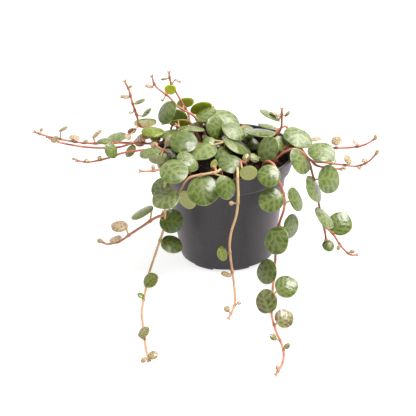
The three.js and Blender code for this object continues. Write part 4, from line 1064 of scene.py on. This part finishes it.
def blade(gathered, leaf, random):
    """A blade: a fleshy disc with a domed top, a rounded rim, sunken veins and a flat underside."""
    radius, half = leaf.radius, leaf.thickness / 2
    sides, rings = YOUNG_BLADE_MESH if leaf.thickness < BLADE_THICKNESS else BLADE_MESH
    distance, height, side = blade_profile(leaf, rings).T[..., None]
    angles = circle(sides)
    outline = blade_outline(angles, random)
    across = distance * outline * np.sin(angles)
    along = -distance * outline * np.cos(angles)
    from_vein = vein_distance(across, along)
    nearness_to_rim = (distance / (1 - BLADE_EDGE / 2 / radius)).clip(0, 1)
    on_top = np.clip(side * 2 - 1, 0, 1) * (1 - nearness_to_rim**RELIEF_FADE)
    depth = VEIN_DEPTH * min(1, radius / FULL_VEIN_RADIUS)
    lift = height - on_top * depth * bell(np.maximum(from_vein, 0), VEIN_SPREAD)
    lift = lift + on_top * PUFF_HEIGHT * np.clip(from_vein / PUFF_REACH, 0, 1)
    lift = lift - BLADE_SAG * radius * (across**2 + along**2)
    lift = lift - BLADE_BEND * radius * random.uniform(*TIP_BEND_RANGE) * along.clip(0, 1) ** 2
    lift = lift + BLADE_BEND * radius * random.uniform(*SIDE_BEND_RANGE) * across**2
    waves = np.sin(RIM_WAVES * angles + random.uniform(0, LATEST_START))
    lift = lift + RIM_WAVE_DEPTH * radius * waves * distance**RIM_WAVE_POWER
    across_way = np.cross(leaf.normal, leaf.to_base)
    points = (
        leaf.middle
        + (across * radius * breadth(2 * radius))[..., None] * across_way
        - (along * radius)[..., None] * leaf.to_base
        + lift[..., None] * leaf.normal
    )
    top = leaf.middle + (half - depth) * leaf.normal
    under = leaf.middle - half * leaf.normal
    places = np.stack(np.broadcast_arrays(across, along, side), axis=-1)
    points = np.vstack([top, points.reshape(-1, 3), under])
    places = np.vstack([(0, 0, 1), places.reshape(-1, 3), (0, 0, 0)])
    faces = ring_faces(len(distance), sides)
    gathered.add(points, faces, LEAF_SKIN, places, LOOKS[leaf.look], random.uniform(0, 1))


def petiole(gathered, leaf, random):
    """A petiole: a slim stalk from the stem to the blade, thicker at its foot."""
    depth = PETIOLE_DEPTH + BLADE_SAG * leaf.radius * PETIOLE_REACH**2
    end = leaf.middle + leaf.to_base * leaf.radius * PETIOLE_REACH - leaf.normal * depth
    way = end - leaf.foot
    shares = np.linspace(0, 1, PETIOLE_STEPS)
    sag = PETIOLE_SAG * np.sin(math.pi * shares) * min(1, np.linalg.norm(way) / FULL_SAG_LENGTH)
    path = leaf.foot + way * shares[:, None] - UP * sag[:, None]
    girth = YOUNG_PETIOLE_GIRTH if leaf.thickness < BLADE_THICKNESS else PETIOLE_GIRTH
    flare = FOOT_FLARE * np.exp(-shares * FOOT_FLARE_FADE) + END_FLARE * shares**END_FLARE_POWER
    tube(gathered, path, PETIOLE_RADIUS * girth * (1 + flare), PETIOLE_SIDES, (shares, 0, 1), 0, random)


def stem(gathered, curve, nodes, yellowness, random):
    """A stem: a tube that tapers to its tip and swells a little at its nodes."""
    steps = max(LEAST_STEM_STEPS, int(curve.length / STEM_STEP))
    shares = np.linspace(0, 1, steps + 1)
    path = curve.spaced(shares)
    swelling = np.zeros(steps + 1)
    for node in nodes:
        swelling = np.maximum(swelling, bell(np.linalg.norm(path - node, axis=1), NODE_LENGTH))
    waves = STEM_WAVE_DEPTH * np.sin(shares * curve.length * STEM_WAVE_TURN)
    radii = STEM_RADIUS + (STEM_TIP_RADIUS - STEM_RADIUS) * shares
    radii = radii * (1 + NODE_SWELLING * swelling + waves)
    tube(gathered, path, radii, STEM_SIDES, (shares, swelling, 0), yellowness, random)


def tip_bud(gathered, curve, random):
    """The pair of tiny folded leaves at a stem's growing tip."""
    before, end = curve.spaced([TIP_SHARE, 1])
    way = unit(end - before)
    side = unit(np.cross(way, TOWARD_LIGHT))
    shares = np.linspace(0, 1, BUD_STEPS)
    radii = BUD_RADIUS * np.sin(math.pi * (BUD_START + BUD_SPAN * shares)) ** BUD_POWER
    for turn in (-1, 1):
        along = unit(way + BUD_SPREAD * turn * side + BUD_RISE * UP)
        path = end - way * BUD_DEPTH + along * BUD_LENGTH * shares[:, None]
        tube(gathered, path, radii, BUD_SIDES, (shares, 0, BUD_PALENESS), BUD_YELLOWNESS, random)


def vine_piece(plant, materials):
    """One vine, with its stem, petioles and blades, in place of its node."""
    gathered = Gathered()
    random = np.random.default_rng(len(plant.name) * VINE_SEED_STEP + len(plant.leaves))
    nodes = [leaf.foot for leaf in plant.leaves]
    yellowness = STEM_YELLOWNESS.get(plant.name, [0.0] * len(plant.curves))
    for curve, yellow in zip(plant.curves, yellowness):
        stem(gathered, curve, nodes, yellow, random)
        tip_bud(gathered, curve, random)
    for leaf in plant.leaves:
        petiole(gathered, leaf, random)
        blade(gathered, leaf, random)
    piece = gathered.object("fine_" + plant.name, materials)
    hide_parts(plant.name)
    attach(piece, "root")
    return piece


def colour(red, green, blue):
    """A colour as seen on screen, from 0 to 255, in the linear values that a shader takes."""
    levels = [value / 255 for value in (red, green, blue)]
    linear = [v / 12.92 if v <= 0.04045 else ((v + 0.055) / 1.055) ** 2.4 for v in levels]
    return (*linear, 1.0)


class Graph:
    """The nodes of a material or a world, made by short calls that each return an output socket."""

    def __init__(self, owner):
        owner.use_nodes = True
        self.owner = owner
        self.tree = owner.node_tree

    def set(self, socket, value):
        """Links an output to an input socket, or sets the input to a plain value."""
        if isinstance(value, bpy.types.NodeSocket):
            self.tree.links.new(value, socket)
        else:
            socket.default_value = value

    def node(self, kind, inputs, **settings):
        """A new node with its inputs and settings."""
        node = self.tree.nodes.new("ShaderNode" + kind)
        for key, value in settings.items():
            setattr(node, key, value)
        for key, value in inputs.items():
            self.set(node.inputs[key], value)
        return node

    def attribute(self, name, output="Vector"):
        """A value that the mesh's vertices carry."""
        return self.node("Attribute", {}, attribute_name=name).outputs[output]

    def place(self, output="Object"):
        """The place of the shaded point, or its direction in a world."""
        return self.node("TexCoord", {}).outputs[output]

    def split(self, vector):
        """The three parts of a vector."""
        return self.node("SeparateXYZ", {0: vector}).outputs

    def join(self, x, y, z):
        """A vector from its three parts."""
        return self.node("CombineXYZ", {0: x, 1: y, 2: z}).outputs[0]

    def math(self, operation, a, b=0.0):
        """The result of an operation on one or two values."""
        return self.node("Math", {0: a, 1: b}, operation=operation).outputs[0]

    def times(self, a, b):
        """The product of two values."""
        return self.math("MULTIPLY", a, b)

    def vector(self, operation, a, b=(0, 0, 0)):
        """The result of an operation on one or two vectors."""
        node = self.node("VectorMath", {0: a, 1: b}, operation=operation)
        return node.outputs["Value" if operation in ("LENGTH", "DOT_PRODUCT") else "Vector"]

    def scaled(self, vector, scale):
        """A vector times a value."""
        return self.node("VectorMath", {0: vector, "Scale": scale}, operation="SCALE").outputs[0]

    def step(self, value, low, high, to_low=0.0, to_high=1.0, kind="SMOOTHSTEP"):
        """A step from to_low at low to to_high at high, smooth unless its kind is another."""
        inputs = {0: value, 1: low, 2: high, 3: to_low, 4: to_high}
        return self.node("MapRange", inputs, interpolation_type=kind).outputs[0]

    def mix(self, share, a, b):
        """A colour on the way from a to b, each a socket or a colour as seen on screen."""
        a, b = (colour(*end) if isinstance(end, tuple) else end for end in (a, b))
        return self.node("Mix", {0: share, 6: a, 7: b}, data_type="RGBA").outputs[2]

    def noise(self, vector, scale, detail=2.0, roughness=0.5, output="Fac"):
        """Soft random clouds."""
        inputs = {"Vector": vector, "Scale": scale, "Detail": detail, "Roughness": roughness}
        return self.node("TexNoise", inputs).outputs[output]

    def cells(self, vector, scale, feature="F1"):
        """The outputs of a texture of random cells."""
        return self.node("TexVoronoi", {"Vector": vector, "Scale": scale}, feature=feature).outputs

    def bump(self, height, distance, strength):
        """The normal of a surface with a fine relief."""
        inputs = {"Height": height, "Distance": distance, "Strength": strength}
        return self.node("Bump", inputs).outputs[0]

    def finish(self, **inputs):
        """Sets the inputs of the material's shader and returns the material."""
        for key, value in inputs.items():
            self.set(self.tree.nodes["Principled BSDF"].inputs[key.replace("_", " ")], value)
        return self.owner


def from_veins(graph, place):
    """The distance from a place on a blade to its nearest vein, as vein_distance has it."""
    across, along, _ = graph.split(place)
    along = graph.math("ADD", along, graph.times(graph.math("SIGN", across), VEIN_STAGGER))
    point = graph.join(graph.math("ABSOLUTE", across), along, 0.0)
    nearest = None
    for start, end, width in VEINS:
        way = (end[0] - start[0], end[1] - start[1], 0)
        offset = graph.vector("SUBTRACT", point, (*start, 0))
        share = graph.math("DIVIDE", graph.vector("DOT_PRODUCT", offset, way), way[0] ** 2 + way[1] ** 2)
        held = graph.node("Clamp", {0: share}).outputs[0]
        gap = graph.vector("LENGTH", graph.vector("SUBTRACT", offset, graph.scaled(way, held)))
        gap = graph.math("SUBTRACT", gap, width)
        nearest = gap if nearest is None else graph.math("MINIMUM", nearest, gap)
    return nearest


def leaf_marks(graph):
    """What a leaf's colours go by: its own values, its veins and its noise."""
    place = graph.attribute("place")
    seed = graph.attribute("seed", "Fac")
    pale, brown, lime = graph.split(graph.attribute("look"))
    across, along, side = graph.split(place)
    # Each leaf lies in a layer of the noise of its own.
    own = graph.join(across, along, graph.times(seed, LEAF_SEED_SPREAD))
    warp = graph.noise(own, *LEAF_WARP, output="Color")
    shift = graph.scaled(graph.vector("SUBTRACT", warp, (0.5, 0.5, 0.5)), WARP_STRENGTH)
    veins = from_veins(graph, graph.vector("ADD", place, shift))
    net = graph.cells(graph.vector("ADD", own, shift), LEAF_NET_SCALE, "DISTANCE_TO_EDGE")["Distance"]
    young = graph.step(brown, *YOUNG_STEP)
    return SimpleNamespace(
        own=own, side=side, pale=pale, brown=brown, lime=lime, young=young, veins=veins,
        core=graph.step(veins, *VEIN_CORE),
        threads=graph.step(net, *NET_THREADS),
        mottle=graph.noise(own, *LEAF_MOTTLE),
        from_middle=graph.vector("LENGTH", graph.join(across, along, 0.0)),
        tan=graph.mix(seed, *YOUNG_TAN),
        tanned=graph.times(young, graph.step(seed, *TAN_STEP)),
    )


def leaf_top(graph, marks):
    """The colour of a blade's top: green, tan or lime panels, brown patches and pale veins."""
    broad = graph.step(graph.noise(marks.own, *LEAF_CLOUD), *CLOUD_STEP)
    # Paleness is partly the leaf's own tone and partly painted light and shade: dark panels paint shade,
    # pale panels paint light on shaded leaves.
    panel = graph.mix(marks.pale, graph.mix(broad, *DEEP_GREEN), graph.mix(broad, *PALE_GREEN))
    panel = graph.mix(marks.tanned, panel, marks.tan)
    line = graph.mix(marks.tanned, graph.mix(marks.pale, *VEIN_LINE), TAN_LINE)
    top = graph.mix(graph.step(marks.mottle, *SPECKLES), panel, line)
    patches = graph.times(graph.step(graph.noise(marks.own, *LEAF_PATCHES), *PATCHES), marks.brown)
    patches = graph.times(patches, graph.step(marks.veins, *VEIN_FREE))
    top = graph.mix(patches, top, graph.mix(marks.young, *BROWN_PATCH))
    top = graph.mix(marks.threads, top, line)
    top = graph.mix(graph.step(marks.veins, *VEIN_HALO), top, line)
    top = graph.mix(graph.times(marks.core, graph.step(marks.brown, *BROWN_CORE)), top, line)
    limed = graph.mix(graph.step(marks.mottle, *LIME_MOTTLE), *LIME_TOP)
    limed = graph.mix(graph.times(marks.core, LIME_CORE), limed, LIME_LINE)
    top = graph.mix(marks.lime, top, limed)
    return graph.mix(graph.step(marks.from_middle, *LEAF_MARGIN), top, line)


def leaf_under(graph, marks):
    """The colour of a blade's underside, which is paler, with faint veins; lime undersides are brightened
    to paint light shining through the blade.
    """
    mottle = graph.step(marks.mottle, *UNDER_MOTTLE)
    # On lime leaves the underside colour is brightened as painted light shining through the blade.
    under = graph.mix(marks.lime, graph.mix(mottle, *PALE_UNDER), graph.mix(mottle, *LIME_UNDER_AND_PAINTED_BACKLIGHT))
    under = graph.mix(graph.times(marks.core, UNDER_CORE), under, UNDER_LINE)
    under = graph.mix(graph.times(marks.brown, UNDER_BROWN), under, marks.tan)
    return graph.mix(marks.tanned, under, marks.tan)


def leaf_material():
    """Waxy green blades with a net of pale veins, tan and brown when young, and lime undersides."""
    graph = Graph(bpy.data.materials.new("waxy_leaf"))
    marks = leaf_marks(graph)
    on_top = graph.step(marks.side, *TOP_SIDE)
    grain = graph.cells(marks.own, LEAF_GRAIN_SCALE)["Distance"]
    relief = graph.math("ADD", graph.times(marks.core, VEIN_RELIEF), graph.times(grain, GRAIN_RELIEF))
    return graph.finish(
        Base_Color=graph.mix(on_top, leaf_under(graph, marks), leaf_top(graph, marks)),
        Roughness=graph.step(marks.mottle, *LEAF_ROUGHNESS),
        Normal=graph.bump(relief, *LEAF_BUMP),
        Specular_IOR_Level=0.3,
        Coat_Weight=0.75,
        Coat_Roughness=0.22,
        Coat_Tint=colour(*WAX_TINT),
        Subsurface_Weight=0.6,
        Subsurface_Radius=(1.0, 0.9, 0.15),
        Subsurface_Scale=0.0015,
    )


def stem_material():
    """Fleshy red or yellow stems that are darker at their nodes, and pale petioles."""
    graph = Graph(bpy.data.materials.new("fleshy_stem"))
    share, node, is_petiole = graph.split(graph.attribute("place"))
    yellowness = graph.split(graph.attribute("look"))[0]
    where = graph.place()
    cloud = graph.step(graph.noise(where, *STEM_CLOUD), *CLOUD_STEP)
    grain = graph.noise(where, *STEM_GRAIN)
    yellow = graph.times(yellowness, graph.step(share, *STEM_FADE))
    skin = graph.mix(yellow, graph.mix(cloud, *RED_STEM), graph.mix(cloud, *YELLOW_STEM))
    skin = graph.mix(graph.times(node, NODE_DARKNESS), skin, DARK_NODE)
    skin = graph.mix(is_petiole, skin, graph.mix(graph.step(share, *STALK_STEP), *STALK))
    return graph.finish(
        Base_Color=graph.mix(graph.step(grain, *STEM_STREAKS), skin, STEM_STREAK),
        Roughness=graph.step(grain, *STEM_ROUGHNESS),
        Normal=graph.bump(grain, *STEM_BUMP),
        Specular_IOR_Level=0.45,
    )


def pot_material():
    """Thin dark plastic with a satin skin, faint draw marks down the wall and fine grain."""
    graph = Graph(bpy.data.materials.new("satin_plastic"))
    where = graph.place()
    x, y, z = graph.split(where)
    round_wall = graph.join(graph.math("ARCTAN2", y, x), graph.times(z, DRAW_MARKS), 0.0)
    streaks = graph.noise(round_wall, *POT_STREAKS)
    grain = graph.noise(where, *POT_GRAIN)
    dust = graph.step(graph.noise(where, *POT_DUST_CLOUD), *POT_DUST_STEP)
    base = graph.mix(graph.step(streaks, *POT_STREAK_STEP), *POT_GREY)
    relief = graph.math("ADD", graph.times(streaks, STREAK_RELIEF), graph.times(grain, POT_GRAIN_RELIEF))
    return graph.finish(
        Base_Color=graph.mix(dust, base, POT_DUST),
        Roughness=graph.step(streaks, *POT_ROUGHNESS),
        Normal=graph.bump(relief, *POT_BUMP),
        Specular_IOR_Level=0.5,
        Sheen_Weight=0.45,
        Sheen_Roughness=0.4,
        Sheen_Tint=colour(*POT_SHEEN),
    )


def soil_material():
    """Damp potting soil: near-black crumbs, partly their own colour and partly painted shade, with some
    redder fibres.
    """
    graph = Graph(bpy.data.materials.new("potting_soil"))
    where = graph.place()
    crumbs = graph.cells(where, SOIL_CELL_SCALE)
    cloud = graph.noise(where, *SOIL_CLOUD)
    base = graph.mix(graph.step(cloud, *SOIL_STEP), *DARK_SOIL_AND_PAINTED_SHADE)
    fibres = graph.step(graph.split(crumbs["Color"])[0], *FIBRE_STEP)
    return graph.finish(
        Base_Color=graph.mix(fibres, base, RED_FIBRE),
        Roughness=0.9,
        Normal=graph.bump(graph.math("ADD", crumbs["Distance"], cloud), *SOIL_BUMP),
        Specular_IOR_Level=0.2,
    )


def surface_material():
    """A plain white surface that stays bright, so that shadows on it are faint."""
    graph = Graph(bpy.data.materials.new("white_surface"))
    return graph.finish(
        Base_Color=colour(*SURFACE_GREY),
        Roughness=0.8,
        Emission_Color=colour(*WHITE),
        Emission_Strength=SURFACE_GLOW,
    )


def rounded(points, radii):
    """A line through points, with an arc of the given radius at each corner between its ends."""
    points = [np.array(point, float) for point in points]
    line = [points[0]]
    for before, corner, after, radius in zip(points, points[1:], points[2:], radii):
        back, on = before - corner, after - corner
        reach = min([radius] + [MOST_ROUNDED_SHARE * np.linalg.norm(way) for way in (back, on)])
        start, end = corner + unit(back) * reach, corner + unit(on) * reach
        for t in np.linspace(0, 1, ROUND_STEPS):
            line.append((1 - t) ** 2 * start + 2 * t * (1 - t) * corner + t**2 * end)
    line.append(points[-1])
    return line


def turned_object(name, line, sides, material):
    """A solid turned about the Z axis from a line of radius and height that ends on the axis."""
    points = [(0, 0, line[0][1])]
    for radius, height in line[1:-1]:
        points += [(radius * math.cos(angle), radius * math.sin(angle), height) for angle in circle(sides)]
    points.append((0, 0, line[-1][1]))
    return add_mesh(name, points, ring_faces(len(line) - 2, sides), [material])


def notch_cutter():
    """The boxes that cut the drain notches round the pot's foot."""
    points, faces = [], []
    for i in range(NOTCH_COUNT):
        turn = FIRST_NOTCH_TURN + i * 360 / NOTCH_COUNT
        out, side = direction(turn, 0), direction(turn + 90, 0)
        faces += [tuple(len(points) + corner for corner in face) for face in BOX_FACES]
        for u, v, w in BOX_CORNERS:
            level = out * (FOOT_RADIUS + u * NOTCH_REACH) + side * v * NOTCH_WIDTH / 2
            points.append(level + UP * w * NOTCH_HEIGHT)
    return add_mesh("notch_cutter", points, faces)


def pot_piece(material):
    """The nursery pot: a thin tapered wall, a lip band with a rounded rim, and a notched foot."""
    line = rounded(
        [(0, 0), *OUTER_LINE, *reversed(INNER_LINE), (0, WALL)],
        [*OUTER_ROUNDING, *reversed(INNER_ROUNDING)],
    )
    made = turned_object("fine_pot", line, POT_SIDES, material)
    cutter = notch_cutter()
    cut = made.modifiers.new("drain_notches", "BOOLEAN")
    cut.object, cut.operation, cut.solver = cutter, "DIFFERENCE", "EXACT"
    bpy.context.view_layer.update()
    seen = made.evaluated_get(bpy.context.evaluated_depsgraph_get())
    cut_mesh = bpy.data.meshes.new_from_object(seen)
    made.modifiers.clear()
    made.data = cut_mesh
    bpy.data.objects.remove(cutter)
    made.data.shade_smooth()
    made.data.set_sharp_from_angle(angle=math.radians(SHARP_ANGLE))
    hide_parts("pot")
    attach(made, "root")
    return made


def soil_relief(x, y):
    """How much the soil's top stands above or below its mean height at a place."""
    return SOIL_UNEVENNESS * np.sin(SOIL_WAVE_X * x + SOIL_WAVE_START) * np.cos(SOIL_WAVE_Y * y)


def soil_piece(material):
    """The soil: a plug with an uneven, crumbly top."""
    top_radius = INNER_LINE[2][0]
    line = [(radius - SOIL_GAP, height + SOIL_GAP) for radius, height in INNER_LINE[:3]]
    line = [(0, line[0][1])] + line
    line += [(top_radius * share, SOIL_TOP) for share in np.linspace(1, 0, SOIL_RINGS + 1)]
    made = turned_object("fine_soil", line, SOIL_SIDES, material)
    place = np.zeros(len(made.data.vertices) * 3)
    made.data.vertices.foreach_get("co", place)
    place = place.reshape(-1, 3) / MM
    x, y, height = place.T
    on_top = (height > SOIL_TOP - SOIL_MARGIN) & (np.hypot(x, y) < top_radius - SOIL_MARGIN)
    random = np.random.default_rng(SOIL_SEED)
    crumbs = random.uniform(-SOIL_ROUGHNESS, SOIL_ROUGHNESS, len(place))
    place[:, 2] += np.where(on_top, soil_relief(x, y) + crumbs, 0)
    made.data.vertices.foreach_set("co", (place * MM).ravel())
    made.data.shade_smooth()
    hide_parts("soil")
    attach(made, "root")
    return made


def crumb_lump(random):
    """The points of a lump about 2 across: a pole, two uneven rings and the other pole."""
    lump = [(0, 0, CRUMB_POLE)]
    for ring_height in (CRUMB_RING_HEIGHT, -CRUMB_RING_HEIGHT):
        for angle in circle(CRUMB_SIDES):
            reach = CRUMB_RING_RADIUS * random.uniform(*RING_RADIUS_RANGE)
            height = ring_height * random.uniform(*RING_HEIGHT_RANGE)
            lump.append((reach * math.cos(angle), reach * math.sin(angle), height))
    return lump + [(0, 0, -CRUMB_POLE)]


def soil_crumbs(material):
    """Loose crumbs and fibres that lie on the soil."""
    gathered = Gathered()
    random = np.random.default_rng(CRUMB_SEED)
    most = INNER_LINE[2][0] - CRUMB_MARGIN
    for _ in range(CRUMB_COUNT):
        radius = most * math.sqrt(random.uniform(0, 1))
        x, y, _ = around_pot(random.uniform(0, 360), radius, 0)
        size = random.uniform(*CRUMB_SIZES)
        middle = np.array([x, y, SOIL_TOP + soil_relief(x, y) + CRUMB_LIFT * size])
        axes = np.linalg.qr(random.normal(size=(3, 3)))[0]
        axes = axes * (size * random.uniform(*CRUMB_PROPORTIONS, 3))
        points = np.array(crumb_lump(random)) @ axes + middle
        place = np.zeros((len(points), 3))
        gathered.add(points, ring_faces(2, CRUMB_SIDES), 0, place, (0, 0, 0), random.uniform(0, 1))
    made = gathered.object("soil_crumbs", [material])
    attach(made, "root")
    return made


def add_camera():
    """The camera, which faces its aim and is rolled a little."""
    data = bpy.data.cameras.new("camera")
    data.sensor_width = SENSOR_WIDTH
    data.lens = FOCAL_PIXELS / PICTURE_PIXELS * SENSOR_WIDTH
    data.clip_start, data.clip_end = CAMERA_CLIP
    roll = math.radians(CAMERA_ROLL)
    back = direction(-90, CAMERA_RISE)
    level = np.array([1.0, 0, 0])
    right = math.cos(roll) * level + math.sin(roll) * np.cross(back, level)
    place = (np.array(CAMERA_AIM) + back * CAMERA_DISTANCE) * MM
    turned = np.vstack([np.stack([right, np.cross(back, right), back, place], axis=1), (0, 0, 0, 1)])
    made = add_object("camera", data)
    made.matrix_world = Matrix(turned.tolist())
    bpy.context.scene.camera = made


def add_light(name, place, size, power):
    """A square soft light that faces the plant; lengths in metres."""
    data = bpy.data.lights.new(name, "AREA")
    data.size, data.energy, data.color = size, power, LIGHT_TINT
    made = add_object(name, data)
    made.location = place
    made.rotation_euler = (Vector(LIGHT_AIM) - Vector(place)).to_track_quat("-Z", "Y").to_euler()


def add_world():
    """A white room to look at, dimmer on the viewer's side as a light, as in a photographer's tent."""
    graph = Graph(bpy.data.worlds.new("white_room"))
    y = graph.split(graph.place("Generated"))[1]
    light = graph.step(y, *DIM_SIDE, DIM_LIGHT, 1.0, kind="LINEAR")
    seen = graph.node("LightPath", {}).outputs["Is Camera Ray"]
    background = graph.tree.nodes["Background"].inputs
    graph.set(background["Strength"], graph.math("MAXIMUM", light, seen))
    graph.set(background["Color"], (1, 1, 1, 1))
    bpy.context.scene.world = graph.owner


def add_stage():
    """The white surface, the white room round it and two soft lights."""
    corners = [(u * SURFACE_HALF, v * SURFACE_HALF, 0) for u, v in ((-1, -1), (1, -1), (1, 1), (-1, 1))]
    surface = add_mesh("surface", corners, [(0, 1, 2, 3)], [surface_material()])
    surface.location.z = -SURFACE_DROP * MM
    add_world()
    for name, light in LIGHTS.items():
        add_light(name, *light)
    bpy.context.scene.view_settings.view_transform = "Standard"


def main():
    """Builds the plant, its pot and its stage."""
    random = seeded_random(RANDOM_SEED)
    vines = PLACED_VINES + [hanging_vine(rule, random) for rule in HANGING_VINES]
    leaf_skin, stem_skin = leaf_material(), stem_material()
    for plant in grow_plant(vines):
        vine_piece(plant, [leaf_skin, stem_skin])
    pot_piece(pot_material())
    soil_skin = soil_material()
    soil_piece(soil_skin)
    soil_crumbs(soil_skin)
    add_camera()
    add_stage()


main()
